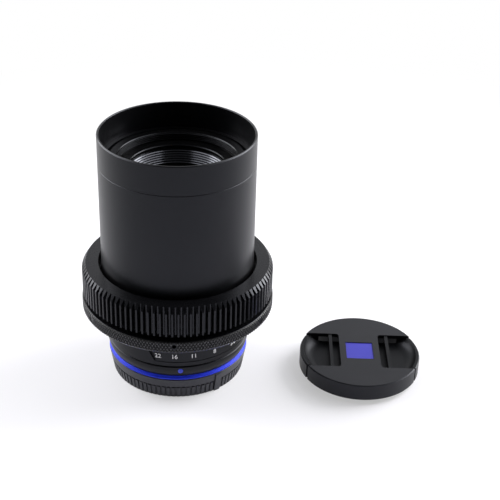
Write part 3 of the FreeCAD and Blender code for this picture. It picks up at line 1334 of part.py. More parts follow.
def front_cap_body():
    """The front cap's face, rim and skirt, with two finger recesses and the hub below."""
    under = front_cap_height - front_cap_plate
    skirt_outer = skirt_radius - skirt_relief
    body = turned("cap_body", [
        (0, under),
        (skirt_outer - skirt_wall, under),
        (skirt_outer - skirt_wall, 0),
        (skirt_outer, 0),
        (skirt_outer, front_cap_rim_level),
        (front_cap_radius, front_cap_rim_level),
        (front_cap_radius, front_cap_height - face_chamfer),
        (front_cap_radius - face_chamfer, front_cap_height),
        (0, front_cap_height),
    ])
    for side, name in ((1, "right"), (-1, "left")):
        sketch = new_sketch(body, f"recess_{name}_outline", "XY_Plane", level=-outside)
        draw_outline(sketch, recess_outline(side))
        extruded(body, "Pocket", f"recess_{name}", sketch, front_cap_height + outside * 2)
    hub_sketch = new_sketch(body, "hub_outline", "XY_Plane", level=hub_level)
    draw_outline(hub_sketch, box_outline(-hub_half_length, hub_half_length, -hub_half_width, hub_half_width))
    extruded(body, "Pad", "hub", hub_sketch, under - hub_level + past_face)
    badge_sketch = new_sketch(body, "badge_seat_outline", "XY_Plane", level=front_cap_height - badge_depth)
    half_length = badge_length / 2 + seat_gap
    half_width = badge_width / 2 + seat_gap
    draw_outline(badge_sketch, box_outline(-half_length, half_length, -half_width, half_width))
    extruded(body, "Pocket", "badge_seat", badge_sketch, badge_depth + outside)
    place_beside(body)


def cap_badge():
    """The plain inlay in the cap's face."""
    body = new_body("cap_badge")
    sketch = new_sketch(body, "badge_outline", "XY_Plane", level=front_cap_height - badge_depth)
    draw_outline(sketch, box_outline(-badge_length / 2, badge_length / 2, -badge_width / 2, badge_width / 2))
    extruded(body, "Pad", "badge_plate", sketch, badge_depth - badge_sink)
    place_beside(body)


def cap_latch(name, side):
    """A latch: the part of the rim between the recess walls, its dished floor, grip bar and tooth."""
    inner = front_cap_radius - front_cap_wall
    floor_top = latch_floor_level + latch_floor
    rim_top = front_cap_height - latch_rim_drop
    half_width = recess_half_width - latch_play
    body = turned(name, [
        (0, latch_floor_level),
        (skirt_radius - skirt_wall, latch_floor_level),
        (skirt_radius - skirt_wall, latch_foot_level),
        (skirt_radius, latch_foot_level),
        (skirt_radius + tooth_height, tooth_level),
        (skirt_radius, tooth_level + tooth_height),
        (skirt_radius, front_cap_rim_level),
        (front_cap_radius, front_cap_rim_level),
        (front_cap_radius, rim_top - face_chamfer),
        (front_cap_radius - face_chamfer, rim_top),
        (inner + latch_lip_width / 2, rim_top),
        (inner - latch_lip_width / 2, rim_top - latch_lip_height),
        (latch_dish_radius, floor_top, -latch_dish_curve),
        (0, floor_top),
    ])
    far = front_cap_radius + outside * 3
    sketch = new_sketch(body, f"{name}_trim_outline", "XY_Plane", level=-outside)
    draw_outline(sketch, box_outline(-far, far, -far, far), "outer")
    draw_outline(sketch, side_outline(side, latch_inner_end, far - outside, half_width), "window")
    extruded(body, "Pocket", f"{name}_trim", sketch, front_cap_height + outside * 2)
    notch_edge = half_width - latch_rim_gap
    notch_inner = root(skirt_radius * skirt_radius - notch_edge * notch_edge) * side
    notch_sketch = new_sketch(body, f"{name}_notch_outline", "XY_Plane", level=-outside)
    past_end = half_width + outside
    for end, low, high in (("front", -past_end, -notch_edge), ("back", notch_edge, past_end)):
        near, beyond = sorted((notch_inner, far * side), key=lambda place: place.value)
        draw_outline(notch_sketch, box_outline(near, beyond, low, high), end)
    extruded(body, "Pocket", f"{name}_notch", notch_sketch, front_cap_height + outside * 2)
    bar_foot = latch_floor_level + latch_floor / 2
    bar_sketch = new_sketch(body, f"{name}_bar_outline", "XY_Plane", level=bar_foot)
    draw_outline(bar_sketch, side_outline(side, bar_inner, bar_inner + bar_width, half_width))
    extruded(body, "Pad", f"{name}_bar", bar_sketch, front_cap_height - bar_drop - bar_foot)
    lug_foot = hub_level + running_gap
    lug_sketch = new_sketch(body, f"{name}_lug_outline", "XY_Plane", level=lug_foot)
    draw_outline(lug_sketch, side_outline(side, lug_inner, lug_inner + lug_length, lug_half_width))
    extruded(body, "Pad", f"{name}_lug", lug_sketch, latch_floor_level + latch_floor / 2 - lug_foot)
    place_beside(body)


def cap_spring(name, side):
    """The coil spring that pushes a latch out from the hub, at the length it has when pinched."""
    length = lug_inner - hub_half_length - latch_travel - coil_wire - spring_end_gap
    pitch = length / coil_turns
    helix = Part.makeHelix(pitch.value, length.value, coil_radius.value)
    half = coil_wire.value / 2
    corners = [
        FreeCAD.Vector(coil_radius.value + x, 0, z)
        for x, z in ((-half, -half), (half, -half), (half, half), (-half, half), (-half, -half))
    ]
    coil = Part.Wire(helix.Edges).makePipeShell([Part.makePolygon(corners)], True, True)
    spring = document.addObject("Part::Feature", name)
    spring.Label = name
    spring.Shape = coil
    turn = FreeCAD.Rotation(FreeCAD.Vector(0, 1, 0), 90 * side)
    level = (hub_level + latch_floor_level) / 2 + spring_lift
    offset = side * (hub_half_length.value + half + spring_gap.value)
    place = FreeCAD.Vector(front_cap_x.value + offset, front_cap_y.value, level.value)
    spring.Placement = FreeCAD.Placement(place, turn)
    nodes.append(spring)


def cap_retainer():
    """The plate under the latches, with rails that carry them."""
    body = new_body("cap_retainer")
    foot = hub_level - retainer_thickness
    plate_sketch = new_sketch(body, "retainer_plate_outline", "XY_Plane", level=foot)
    length = retainer_half_length
    width = retainer_half_width
    draw_outline(plate_sketch, box_outline(-length, length, -width, width))
    extruded(body, "Pad", "retainer_plate", plate_sketch, retainer_thickness)
    rail_height = latch_floor_level - hub_level - rail_gap
    for name, low, high in (("front", -width, retainer_rail - width), ("back", width - retainer_rail, width)):
        sketch = new_sketch(body, f"retainer_rail_{name}_outline", "XY_Plane", level=hub_level - past_face)
        draw_outline(sketch, box_outline(-length, length, low, high))
        extruded(body, "Pad", f"retainer_rail_{name}", sketch, rail_height + past_face)
    place_beside(body)


def check_and_export():
    """Stops on any failed object or shape, then writes each piece to its own file."""
    document.recompute()
    for item in document.Objects:
        failed = [word for word in item.State if word in ("Invalid", "Error")]
        if failed:
            raise RuntimeError(f"{item.Name}: {item.State}")
    os.makedirs("parts", exist_ok=True)
    for piece in nodes:
        shape = piece.Shape
        if shape.isNull() or not shape.isValid():
            raise RuntimeError(f"{piece.Label}: shape is empty or not valid")
        solids = len(shape.Solids)
        print(f"{piece.Label}: {solids} solid(s), {len(shape.Faces)} faces, {shape.Volume:.1f} mm3")
        shape.exportStep(os.path.join("parts", f"{piece.Label}.step"))


rear_cap()
bayonet_mount()
mount_screws()
contacts()
seal_ring()
base_ring()
rear_baffle()
main_tube()
guide_keys()
click_parts()
aperture_ring()
aperture_link()
scale_ring()
focus_ring()
gear_ring()
clamp_ring()
clamp_insert()
front_barrel()
name_and_baffle()
iris(lens_groups())
hood()
front_cap_body()
cap_badge()
cap_latch("cap_latch_right", 1)
cap_latch("cap_latch_left", -1)
cap_spring("cap_spring_right", 1)
cap_spring("cap_spring_left", -1)
cap_retainer()
check_and_export()
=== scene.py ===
import json
import math

import bmesh
import bpy
from mathutils import Matrix, Vector


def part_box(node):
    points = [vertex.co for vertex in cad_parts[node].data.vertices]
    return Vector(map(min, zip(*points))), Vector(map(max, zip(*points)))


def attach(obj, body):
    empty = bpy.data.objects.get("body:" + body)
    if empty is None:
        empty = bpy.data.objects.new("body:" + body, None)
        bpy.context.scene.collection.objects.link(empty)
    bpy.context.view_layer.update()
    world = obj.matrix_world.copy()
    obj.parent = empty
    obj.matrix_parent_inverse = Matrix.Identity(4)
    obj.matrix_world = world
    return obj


# A manual focus prime lens on a pale table, standing on its rear cap, with its front cap beside it.
# Lengths are in metres. Radii and heights repeat the lens's own sizes where a piece is added to it.

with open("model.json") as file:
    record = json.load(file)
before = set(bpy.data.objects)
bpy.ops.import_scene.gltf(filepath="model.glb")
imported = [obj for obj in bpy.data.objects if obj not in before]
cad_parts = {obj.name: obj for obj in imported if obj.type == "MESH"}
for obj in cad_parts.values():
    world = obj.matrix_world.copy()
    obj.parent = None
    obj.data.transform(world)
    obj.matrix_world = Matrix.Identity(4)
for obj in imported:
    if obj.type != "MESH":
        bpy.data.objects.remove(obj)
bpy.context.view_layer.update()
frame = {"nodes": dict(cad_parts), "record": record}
nodes = frame["nodes"]
mm = 0.001


# Camera

def make_camera():
    """The photograph's viewpoint: a short telephoto view, 30 degrees down, rolled a little."""
    place = Vector((31.61, -428.95, 304.89)) * mm
    pitch = math.radians(29.82)
    roll = math.radians(1.8185)
    frame_pixels = 500
    focal_pixels = 1129.35
    sensor_width = 36
    forward = Vector((0, math.cos(pitch), -math.sin(pitch)))
    level_right = Vector((1, 0, 0))
    level_up = level_right.cross(forward)
    right = level_right * math.cos(roll) + level_up * math.sin(roll)
    up = level_up * math.cos(roll) - level_right * math.sin(roll)
    data = bpy.data.cameras.new("camera")
    data.sensor_width = sensor_width
    data.lens = focal_pixels / frame_pixels * sensor_width
    data.clip_start = 0.01
    data.clip_end = 20
    camera = bpy.data.objects.new("camera", data)
    bpy.context.scene.collection.objects.link(camera)
    camera.matrix_world = Matrix.Translation(place) @ Matrix((right, up, -forward)).transposed().to_4x4()
    bpy.context.scene.camera = camera


# Shader expressions

class Link:
    """An output socket in a node tree, which adds Math nodes when it is used in an expression."""

    def __init__(self, recipe, socket):
        self.recipe = recipe
        self.socket = socket

    def __add__(self, other):
        return self.recipe.math("ADD", self, other)

    def __radd__(self, other):
        return self.recipe.math("ADD", other, self)

    def __sub__(self, other):
        return self.recipe.math("SUBTRACT", self, other)

    def __rsub__(self, other):
        return self.recipe.math("SUBTRACT", other, self)

    def __mul__(self, other):
        return self.recipe.math("MULTIPLY", self, other)

    def __rmul__(self, other):
        return self.recipe.math("MULTIPLY", other, self)

    def __truediv__(self, other):
        return self.recipe.math("DIVIDE", self, other)

    def __pow__(self, other):
        return self.recipe.math("POWER", self, other)


class Recipe:
    """A node tree that is written as expressions."""

    def __init__(self, tree):
        self.tree = tree
        self.tree.nodes.clear()

    def add(self, kind, values=None, output=0, **settings):
        """Adds a node, sets it up, fills its sockets and returns one of its outputs."""
        node = self.tree.nodes.new(kind)
        for name, setting in settings.items():
            setattr(node, name, setting)
        for key, value in (values or {}).items():
            self.fill(node.inputs[key], value)
        return Link(self, node.outputs[output]) if node.outputs else None

    def fill(self, socket, value):
        """Puts a number, a colour or a link into a socket."""
        if isinstance(value, Link):
            self.tree.links.new(value.socket, socket)
        elif isinstance(value, tuple) and len(value) == 3 and len(socket.default_value) == 4:
            socket.default_value = (*value, 1)
        else:
            socket.default_value = value

    def math(self, operation, first, second=0.0):
        """A number worked out from numbers or links."""
        return self.add("ShaderNodeMath", {0: first, 1: second}, operation=operation)

    def ease(self, value, start, end, low=0.0, high=1.0):
        """A number that goes smoothly from low to high while the value goes from start to end."""
        return self.add("ShaderNodeMapRange", {
            "Value": value, "From Min": start, "From Max": end, "To Min": low, "To Max": high,
        }, interpolation_type="SMOOTHSTEP")

    def vector(self, x=0.0, y=0.0, z=0.0):
        """A vector from numbers or links."""
        return self.add("ShaderNodeCombineXYZ", {0: x, 1: y, 2: z})

    def split(self, vector):
        """The three parts of a vector."""
        node = self.tree.nodes.new("ShaderNodeSeparateXYZ")
        self.fill(node.inputs[0], vector)
        return tuple(Link(self, part) for part in node.outputs)

    def place(self):
        """Object coordinates, in metres."""
        return self.add("ShaderNodeTexCoord", output="Object")

    def from_axis(self):
        """How far a point of the surface lies from the lens's axis."""
        x, y, _ = self.split(self.place())
        return (x * x + y * y) ** 0.5

    def noise(self, scale, detail=2.0, roughness=0.5):
        """A noise between 0 and 1."""
        values = {"Scale": scale, "Detail": detail, "Roughness": roughness, "Vector": self.place()}
        return self.add("ShaderNodeTexNoise", values, output="Fac")

    def blend(self, factor, first, second):
        """A colour between two colours."""
        return self.add("ShaderNodeMix", {0: factor, 6: first, 7: second}, output=2, data_type="RGBA")

    def bump(self, height, distance, strength):
        """A normal that follows a height."""
        return self.add("ShaderNodeBump", {"Height": height, "Distance": distance, "Strength": strength})


# Finishes

# The black finishes reflect a little more blue than red.
COOL_SHEEN = (0.84, 0.87, 1.0)

# Every finish by its name.
materials = {}


def new_material(name, colour, roughness, metallic=0.0, build=None, **fixed):
    """Adds a finish, whose build function gives the sockets that change over the surface."""
    material = bpy.data.materials.new(name)
    materials[name] = material
    material.use_nodes = True
    recipe = Recipe(material.node_tree)
    values = {"Base Color": colour, "Roughness": roughness, "Metallic": metallic}
    values.update({key.replace("_", " "): value for key, value in fixed.items()})
    if build is not None:
        values.update(build(recipe))
    shader = recipe.add("ShaderNodeBsdfPrincipled", values, output="BSDF")
    recipe.add("ShaderNodeOutputMaterial", {"Surface": shader})


def paler(colour, gain, lift):
    """A colour made lighter by a factor and a small step."""
    return tuple(channel * gain + lift for channel in colour)


def anodised(name, colour, roughness, grain=1.0, handling=0.06, gloss=0.2):
    """Blasted and anodised aluminium: a fine grain, and a sheen that varies a little from handling."""
    handled = paler(colour, gain=1.5, lift=0.004)
    grain_depth = 0.004 * mm * grain
    grain_sheen = 0.05

    def build(recipe):
        blasting = recipe.noise(scale=9000, detail=1.0)
        smears = recipe.noise(scale=45, detail=4.0, roughness=0.6)
        return {
            "Base Color": recipe.blend(smears ** 2.0, colour, handled),
            "Roughness": roughness + (smears - 0.5) * handling + (blasting - 0.5) * grain_sheen,
            "Normal": recipe.bump(blasting, distance=grain_depth, strength=0.5),
        }

    new_material(
        name, colour, roughness, build=build, Specular_IOR_Level=gloss, Specular_Tint=COOL_SHEEN,
    )


def moulded(name, colour, roughness, grain=1.0, gloss=0.22):
    """Moulded plastic with a spark-eroded texture and faint cloudiness."""
    cloudy = paler(colour, gain=1.35, lift=0.003)
    cloud_sheen = 0.08
    texture_depth = 0.012 * mm * grain

    def build(recipe):
        texture = recipe.noise(scale=4200, detail=2.0, roughness=0.55)
        clouds = recipe.noise(scale=60, detail=3.0)
        return {
            "Base Color": recipe.blend(clouds, colour, cloudy),
            "Roughness": roughness + (clouds - 0.5) * cloud_sheen,
            "Normal": recipe.bump(texture, distance=texture_depth, strength=0.6),
        }

    new_material(
        name, colour, roughness, build=build, Specular_IOR_Level=gloss, Specular_Tint=COOL_SHEEN,
    )


def turned_metal(name, colour, roughness):
    """Bright metal turned on a lathe, with fine rings round the axis."""
    ring_width = 0.06 * mm
    ring_depth = 0.0012 * mm
    smear_sheen = 0.08

    def build(recipe):
        rings = recipe.math("SINE", recipe.from_axis() / ring_width)
        smears = recipe.noise(scale=80, detail=3.0)
        return {
            "Roughness": roughness + (smears - 0.5) * smear_sheen,
            "Normal": recipe.bump(rings, distance=ring_depth, strength=0.5),
        }

    new_material(name, colour, roughness, metallic=1.0, build=build)


def knurl_with_painted_shade(name, root_radius, crest_radius):
    """Black anodised knurling: colour darker in the grooves as painted shade and lighter on the crests as
    painted highlight, varied at random like wear; rougher in the grooves and smoother on the crests that
    hands touch.
    """
    # The groove colour is painted shade and the crest colour is a painted highlight.
    shaded_groove_colour = (0.0008, 0.0008, 0.0010)
    lit_crest_colour = (0.065, 0.065, 0.070)
    groove_roughness = 0.5
    crest_roughness = 0.26
    least_crest_highlight = 0.7
    wear_spread = 0.6

    def build(recipe):
        # Painted shade in the grooves and painted highlight on the crests, by distance from the axis, with a
        # random spread.
        crest_highlight = recipe.ease(recipe.from_axis(), root_radius, crest_radius)
        highlight_and_wear = crest_highlight * (least_crest_highlight + recipe.noise(scale=700) * wear_spread)
        return {
            "Base Color": recipe.blend(highlight_and_wear, shaded_groove_colour, lit_crest_colour),
            "Roughness": groove_roughness - highlight_and_wear * (groove_roughness - crest_roughness),
        }

    new_material(name, shaded_groove_colour, groove_roughness, build=build, Specular_IOR_Level=0.3)


def rubber(name, colour, roughness):
    """Saturated rubber with a soft bloom."""
    bloomed = paler(colour, gain=1.25, lift=0.01)
    bloom_sheen = 0.12
    skin_depth = 0.006 * mm

    def build(recipe):
        bloom = recipe.noise(scale=120, detail=4.0, roughness=0.6)
        skin = recipe.noise(scale=2600, detail=1.0)
        return {
            "Base Color": recipe.blend(bloom ** 1.5, colour, bloomed),
            "Roughness": roughness + (bloom - 0.5) * bloom_sheen,
            "Normal": recipe.bump(skin, distance=skin_depth, strength=0.5),
        }

    new_material(name, colour, roughness, build=build, Specular_IOR_Level=0.2)


def flat_black(name):
    """Dead black paint that lets a little light graze it."""
    black = (0.004, 0.004, 0.004)
    tooth_depth = 0.02 * mm

    def build(recipe):
        tooth = recipe.noise(scale=5200, detail=3.0, roughness=0.6)
        return {
            "Base Color": recipe.blend(tooth, black, paler(black, gain=2.0, lift=0.0)),
            "Normal": recipe.bump(tooth, distance=tooth_depth, strength=0.7),
        }

    new_material(name, black, roughness=0.7, build=build, Specular_IOR_Level=0.3)


def coated_glass(name):
    """A multicoated lens element."""
    new_material(
        name, (0.92, 0.95, 0.96), roughness=0.0, IOR=1.6, Transmission_Weight=1.0, Specular_IOR_Level=0.25,
        Thin_Film_Thickness=420, Thin_Film_IOR=1.38,
    )


def printed(name, colour):
    """Filled or printed marks."""
    dryness = 0.5
    wear_sheen = 0.2

    def build(recipe):
        return {"Roughness": dryness + (recipe.noise(scale=900, detail=3.0) - 0.5) * wear_sheen}

    new_material(name, colour, dryness, build=build)


anodised("hood_black", (0.0005, 0.0005, 0.0008), roughness=0.34, handling=0.05, gloss=0.28)
anodised("gear_black", (0.0020, 0.0020, 0.0026), roughness=0.27, handling=0.07, gloss=0.28)
anodised("rim_black", (0.0012, 0.0012, 0.0014), roughness=0.24, grain=0.6, handling=0.04, gloss=0.15)
anodised("ridge_black", (0.0012, 0.0012, 0.0016), roughness=0.17, grain=0.4, handling=0.04, gloss=0.7)
# The knurl carries painted shade in its grooves and a painted highlight on its crests.
knurl_with_painted_shade("knurl_black", root_radius=42.22 * mm, crest_radius=42.38 * mm)
anodised("barrel_black", (0.0045, 0.0045, 0.0050), roughness=0.34)
anodised("aperture_black", (0.0060, 0.0060, 0.0068), roughness=0.32, grain=0.8)
anodised("cell_black", (0.006, 0.006, 0.006), roughness=0.5)
flat_black("matte_black")
anodised("blade_black", (0.01, 0.01, 0.01), roughness=0.45)
moulded("cap_plastic", (0.0120, 0.0122, 0.0140), roughness=0.42)
# A darker copy of the cap's plastic for the latches: painted shade for their shadowed recesses.
moulded("latch_plastic_painted_shade", (0.0016, 0.0018, 0.0022), roughness=0.36, grain=0.6, gloss=0.18)
moulded("rear_cap_plastic", (0.037, 0.037, 0.042), roughness=0.42, gloss=0.30)
moulded("black_plastic", (0.010, 0.010, 0.010), roughness=0.5)
moulded("badge_blue", (0.046, 0.044, 0.33), roughness=0.3, grain=0.4)
rubber("blue_rubber", (0.012, 0.034, 0.66), roughness=0.52)
turned_metal("mount_metal", (0.72, 0.72, 0.73), roughness=0.22)
turned_metal("steel", (0.55, 0.55, 0.57), roughness=0.28)
turned_metal("contact_gold", (0.83, 0.60, 0.25), roughness=0.25)
coated_glass("lens_glass")
printed("mark_white", (0.80, 0.80, 0.80))
printed("mark_blue", (0.02, 0.05, 0.62))

# Pieces whose finish differs a little from the rest of their slot.
own_finish = {
    "front_barrel": "rim_black",
    "name_ring": "rim_black",
    "light_baffle": "ridge_black",
    "rear_cap": "rear_cap_plastic",
    # The latches take the darker copy of the cap's plastic as painted shade.
    "cap_latch_left": "latch_plastic_painted_shade",
    "cap_latch_right": "latch_plastic_painted_shade",
}


def dress_nodes():
    """Gives every piece of the lens its own finish, or else the material of its slot."""
    for entry in frame["record"]["subparts"]:
        piece = nodes[entry["node"]]
        finish = own_finish.get(entry["node"], entry["material_slot"])
        for slot in piece.material_slots:
            slot.material = materials[finish]


# Added pieces

def finish_piece(mesh, name, body, finish):
    """Links a mesh as a piece that rides on a body."""
    piece = bpy.data.objects.new(name, mesh)
    bpy.context.scene.collection.objects.link(piece)
    piece.data.materials.clear()
    piece.data.materials.append(materials[finish])
    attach(piece, body)


def baked(tree_name, build, finish, inputs):
    """Runs a Geometry Nodes tree with named inputs on an empty mesh and returns the plain mesh."""
    tree = bpy.data.node_groups.new(tree_name, "GeometryNodeTree")
    tree.is_modifier = True
    tree.interface.new_socket("Geometry", in_out="OUTPUT", socket_type="NodeSocketGeometry")
    for label, value in inputs.items():
        kind = "NodeSocketInt" if isinstance(value, int) else "NodeSocketFloat"
        tree.interface.new_socket(label, in_out="INPUT", socket_type=kind)
    recipe = Recipe(tree)
    group_input = tree.nodes.new("NodeGroupInput")
    given = {label: Link(recipe, group_input.outputs[label]) for label in inputs}
    shape = build(recipe, given)
    real = recipe.add("GeometryNodeRealizeInstances", {0: shape})
    painted = recipe.add("GeometryNodeSetMaterial", {"Geometry": real, "Material": materials[finish]})
    group_output = tree.nodes.new("NodeGroupOutput")
    tree.links.new(painted.socket, group_output.inputs[0])
    carrier = bpy.data.objects.new(tree_name, bpy.data.meshes.new(tree_name))
    bpy.context.scene.collection.objects.link(carrier)
    modifier = carrier.modifiers.new(tree_name, "NODES")
    modifier.node_group = tree
    for item in tree.interface.items_tree:
        if item.in_out == "INPUT":
            modifier[item.identifier] = inputs[item.name]
    bpy.context.view_layer.update()
    evaluated = carrier.evaluated_get(bpy.context.evaluated_depsgraph_get())
    mesh = bpy.data.meshes.new_from_object(evaluated)
    bpy.data.objects.remove(carrier)
    return mesh


def clamp_knurl():
    """The clamp ring's diamond knurl: staggered rows of blunt pyramids, cut off at the band's edges."""
    band_height = 4.6 * mm
    band_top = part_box("clamp_ring")[1][2]
    spanner_holes = 6
    sizes = {
        "Round": 186, "Rows": 5, "Band radius": 41.98 * mm, "Band foot": band_top - band_height,
        "Band height": band_height, "Depth": 0.42 * mm, "Crest share": 0.4,
        "Hole azimuth": math.radians(271.8), "Hole pitch": math.tau / spanner_holes,
        "Hole height": 35.35 * mm, "Hole clearance": 1.5 * mm,
    }

    def build(recipe, given):
        band_radius = given["Band radius"]
        band_foot = given["Band foot"]
        row_step = given["Band height"] / (given["Rows"] - 1)
        half_width = math.pi * band_radius / given["Round"]
        pyramid = recipe.add("GeometryNodeMeshCone", {
            "Vertices": 4, "Radius Top": given["Crest share"], "Radius Bottom": 1.0, "Depth": 1.0,
        })
        outwards = recipe.add("GeometryNodeTransform", {
            "Geometry": pyramid, "Scale": recipe.vector(row_step, half_width, given["Depth"]),
            "Rotation": recipe.vector(y=math.pi / 2),
        })

        points = recipe.add("GeometryNodeMeshLine", {"Count": given["Round"] * given["Rows"]})
        index = recipe.add("GeometryNodeInputIndex")
        row = recipe.math("FLOOR", (index + 0.5) / given["Round"])
        odd_row = recipe.math("MODULO", row, 2)
        turn = (index + odd_row * 0.5) * math.tau / given["Round"]
        x = recipe.math("COSINE", turn) * band_radius
        y = recipe.math("SINE", turn) * band_radius
        row_height = band_foot + row * row_step
        placed = recipe.add("GeometryNodeSetPosition", {
            "Geometry": points, "Position": recipe.vector(x, y, row_height),
        })

        half_pitch = given["Hole pitch"] / 2
        past_hole = turn - given["Hole azimuth"] + half_pitch
        from_hole = recipe.math("FLOORED_MODULO", past_hole, given["Hole pitch"])
        aside = (from_hole - half_pitch) * band_radius
        above = row_height - given["Hole height"]
        clear = recipe.math("GREATER_THAN", (aside * aside + above * above) ** 0.5, given["Hole clearance"])
        pyramids = recipe.add("GeometryNodeInstanceOnPoints", {
            "Points": placed, "Selection": clear, "Instance": outwards, "Rotation": recipe.vector(z=turn),
        })

        real = recipe.add("GeometryNodeRealizeInstances", {0: pyramids})
        x, y, z = recipe.split(recipe.add("GeometryNodeInputPosition"))
        proud = (x * x + y * y) ** 0.5 - band_radius
        level = recipe.math("MAXIMUM", z, band_foot)
        level = recipe.math("MINIMUM", level, band_foot + given["Band height"] - proud)
        inside_band = recipe.vector(x, y, level)
        cut = recipe.add("GeometryNodeSetPosition", {"Geometry": real, "Position": inside_band})
        return recipe.add("GeometryNodeSetShadeSmooth", {"Geometry": cut, "Shade Smooth": False})

    mesh = baked("clamp_knurl", build, "knurl_black", sizes)
    finish_piece(mesh, "clamp_knurl", body="clamp", finish="knurl_black")


def filter_threads():
    """The turns of the fine thread inside the front rim."""
    sizes = {
        "Turns": 4.2, "Pitch": 0.75 * mm, "Crest radius": 25.62 * mm, "First turn": 99.2 * mm,
        "Ridge": 0.28 * mm,
    }

    def build(recipe, given):
        spiral = recipe.add("GeometryNodeCurveSpiral", {
            "Resolution": 96, "Rotations": given["Turns"], "Start Radius": given["Crest radius"],
            "End Radius": given["Crest radius"], "Height": given["Turns"] * given["Pitch"],
        })
        offset = recipe.vector(z=given["First turn"])
        raised = recipe.add("GeometryNodeTransform", {"Geometry": spiral, "Translation": offset})
        profile = recipe.add("GeometryNodeCurvePrimitiveCircle", {"Resolution": 4, "Radius": given["Ridge"]})
        return recipe.add("GeometryNodeCurveToMesh", {
            "Curve": raised, "Profile Curve": profile, "Fill Caps": True,
        })

    mesh = baked("filter_threads", build, "barrel_black", sizes)
    finish_piece(mesh, "filter_threads", body="front_group", finish="barrel_black")


def wrapped_text(words, size, radius, azimuth, height):
    """A word or number laid round a cylinder, reading from the side."""
    data = bpy.data.curves.new("words", "FONT")
    data.body = words
    data.size = size
    data.align_x = "CENTER"
    data.align_y = "CENTER"
    data.resolution_u = 4
    data.extrude = 0.04 * mm
    carrier = bpy.data.objects.new("words", data)
    bpy.context.scene.collection.objects.link(carrier)
    bpy.context.view_layer.update()
    mesh = bpy.data.meshes.new_from_object(carrier.evaluated_get(bpy.context.evaluated_depsgraph_get()))
    bpy.data.objects.remove(carrier)
    for vertex in mesh.vertices:
        turn = azimuth + vertex.co.x / radius
        out = radius + vertex.co.z
        vertex.co = Vector((out * math.cos(turn), out * math.sin(turn), height + vertex.co.y))
    return mesh


def aperture_numbers():
    """The aperture values round the sunken plate, each at its azimuth in degrees."""
    azimuths = {
        "22": 258.1, "16": 271.2, "11": 286.4, "8": 304.0,
        "5.6": 323.2, "4": 343.0, "2.8": 363.0, "2.4": 373.5,
    }
    whole = bmesh.new()
    for value, azimuth in azimuths.items():
        whole.from_mesh(wrapped_text(
            value, size=2.9 * mm, radius=31.7 * mm, azimuth=math.radians(azimuth), height=23.0 * mm,
        ))
    mesh = bpy.data.meshes.new("aperture_numbers")
    whole.to_mesh(mesh)
    whole.free()
    finish_piece(
        mesh, "aperture_numbers", body="aperture_control", finish="mark_white",
    )


def surface_radius(node, azimuth, height):
    """How far a piece's outside lies from the axis, at an azimuth and a height."""
    far_outside = 100 * mm
    outwards = Vector((math.cos(azimuth), math.sin(azimuth), 0))
    into_piece = nodes[node].matrix_world.inverted()
    start = into_piece @ (outwards * far_outside + Vector((0, 0, height)))
    finish = into_piece @ Vector((0, 0, height))
    hit, place, _, _ = nodes[node].ray_cast(start, (finish - start).normalized())
    if not hit:
        raise RuntimeError(f"{node} has no surface at this height")
    return (nodes[node].matrix_world @ place).dot(outwards)


def index_mark():
    """The dot on the base ring that the aperture values are read against: a flat bead."""
    azimuth = math.radians(275.8)
    height = 15.6 * mm
    dot_radius = 1.15 * mm
    thickness_share = 0.2
    outwards = Vector((math.cos(azimuth), math.sin(azimuth), 0))
    across = Vector((-outwards.y, outwards.x, 0))
    place = Matrix((outwards, across, Vector((0, 0, 1)))).transposed().to_4x4()
    place.translation = outwards * surface_radius("base_ring", azimuth, height) + Vector((0, 0, height))
    whole = bmesh.new()
    bmesh.ops.create_uvsphere(whole, u_segments=24, v_segments=12, radius=dot_radius)
    whole.transform(place @ Matrix.Diagonal((thickness_share, 1, 1, 1)))
    for face in whole.faces:
        face.smooth = True
    mesh = bpy.data.meshes.new("index_mark")
    whole.to_mesh(mesh)
    whole.free()
    finish_piece(mesh, "index_mark", body="barrel", finish="mark_blue")


# Surroundings

# The room's light by direction: Y is -1 towards the dark room in front and 1 towards the white wall behind.
DARK_ROOM_EDGE = -0.75
WHITE_WALL_EDGE = 0.62
DARK_ROOM_LIGHT = 0.04
WHITE_WALL_LIGHT = 1.6

# The white wall is low: its light fades between these heights, where 1 is straight up.
WALL_TOP_START = 0.12
WALL_TOP_END = 0.60
LIGHT_ABOVE_WALL = 0.35

# How much of the lit table shows as its own even white, as on a light table, near the lens.
# It grows between two distances from the middle, and past them all of it does.
TABLE_GLOW = 0.45
FADE_START = 0.10
FADE_END = 0.42

WHITE = (1.0, 1.0, 1.0)


def ray_kinds(recipe):
    """Whether a ray comes from the camera, from a gloss or through glass: 1 where it does, else 0."""
    path = recipe.tree.nodes.new("ShaderNodeLightPath")
    names = ("Is Camera Ray", "Is Glossy Ray", "Is Transmission Ray")
    return tuple(Link(recipe, path.outputs[name]) for name in names)


def make_floor():
    """A pale table that fades to white away from the lens, and still takes its shadow."""
    half_width = 3.0
    to_middle = (-0.045, 0.02, 0)
    whole = bmesh.new()
    bmesh.ops.create_grid(whole, x_segments=1, y_segments=1, size=half_width)
    mesh = bpy.data.meshes.new("floor")
    whole.to_mesh(mesh)
    whole.free()
    floor = bpy.data.objects.new("floor", mesh)
    bpy.context.scene.collection.objects.link(floor)
    material = bpy.data.materials.new("pale_table")
    material.use_nodes = True
    recipe = Recipe(material.node_tree)
    middle = recipe.add("ShaderNodeMapping", {"Vector": recipe.place(), "Location": to_middle})
    distance = recipe.add("ShaderNodeVectorMath", {0: middle}, output="Value", operation="LENGTH")
    fade = recipe.ease(distance, FADE_START, FADE_END, low=TABLE_GLOW)
    table = recipe.add("ShaderNodeBsdfDiffuse", {"Color": (0.86, 0.85, 0.90)}, output="BSDF")
    white = recipe.add("ShaderNodeEmission", {"Color": WHITE, "Strength": 1.0}, output="Emission")
    camera, glossy, through = ray_kinds(recipe)
    seen = recipe.math("MAXIMUM", recipe.math("MAXIMUM", camera, glossy), through)
    surface = recipe.add("ShaderNodeMixShader", {0: fade * seen, 1: table, 2: white})
    recipe.add("ShaderNodeOutputMaterial", {"Surface": surface})
    mesh.materials.append(material)


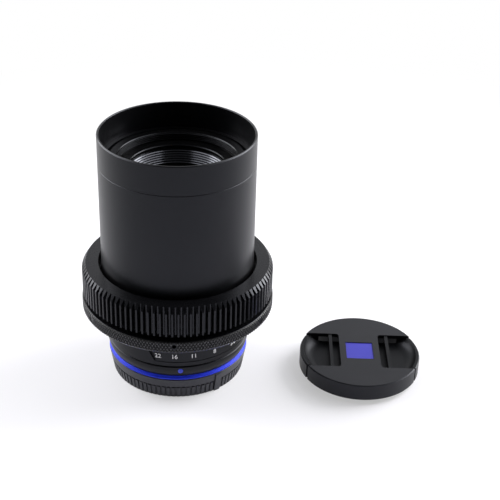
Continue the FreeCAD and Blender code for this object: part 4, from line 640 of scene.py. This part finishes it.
def make_world():
    """A studio with a low white wall behind and beside the table and a dark room in front of it."""
    room_white = (0.96, 0.97, 1.0)
    world = bpy.data.worlds.new("studio")
    bpy.context.scene.world = world
    world.use_nodes = True
    recipe = Recipe(world.node_tree)
    _, depth, height = recipe.split(recipe.add("ShaderNodeTexCoord", output="Generated"))
    towards_wall = recipe.ease(depth, DARK_ROOM_EDGE, WHITE_WALL_EDGE)
    below_top = recipe.ease(height, WALL_TOP_START, WALL_TOP_END, low=1.0, high=LIGHT_ABOVE_WALL)
    wall = towards_wall * below_top
    dark_room = recipe.add("ShaderNodeBackground", {"Color": room_white, "Strength": DARK_ROOM_LIGHT})
    white_wall = recipe.add("ShaderNodeBackground", {"Color": room_white, "Strength": WHITE_WALL_LIGHT})
    room = recipe.add("ShaderNodeMixShader", {0: wall, 1: dark_room, 2: white_wall})
    white = recipe.add("ShaderNodeBackground", {"Color": WHITE, "Strength": 1.0})
    camera, glossy, through = ray_kinds(recipe)
    seen = recipe.math("MAXIMUM", recipe.math("MAXIMUM", camera, through), glossy * wall)
    surface = recipe.add("ShaderNodeMixShader", {0: seen, 1: room, 2: white})
    recipe.add("ShaderNodeOutputWorld", {"Surface": surface})


def soft_light(name, place, target, width, height, power):
    """A rectangular softbox that points at a target."""
    data = bpy.data.lights.new(name, "AREA")
    data.shape = "RECTANGLE"
    data.size = width
    data.size_y = height
    data.energy = power
    light = bpy.data.objects.new(name, data)
    bpy.context.scene.collection.objects.link(light)
    light.location = place
    light.rotation_euler = (Vector(target) - Vector(place)).to_track_quat("-Z", "Y").to_euler()


def make_lights():
    """Two large softboxes beside the lens and two smaller ones above them."""
    large = {"width": 0.7, "height": 0.9}
    small = {"width": 0.55, "height": 0.7}
    soft_light("left_softbox", (-0.85, 0.38, 0.5), target=(0, 0, 0.06), power=12, **large)
    soft_light("right_softbox", (0.9, 0.42, 0.46), target=(0, 0, 0.06), power=19, **large)
    soft_light("upper_left_softbox", (-0.62, 0.1, 0.95), target=(0, 0, 0.04), power=3.4, **small)
    soft_light("upper_right_softbox", (0.66, 0.1, 0.92), target=(0.04, 0, 0.04), power=3.4, **small)


make_camera()
dress_nodes()
clamp_knurl()
filter_threads()
aperture_numbers()
index_mark()
make_floor()
make_world()
make_lights()
bpy.context.scene.view_settings.view_transform = "Standard"
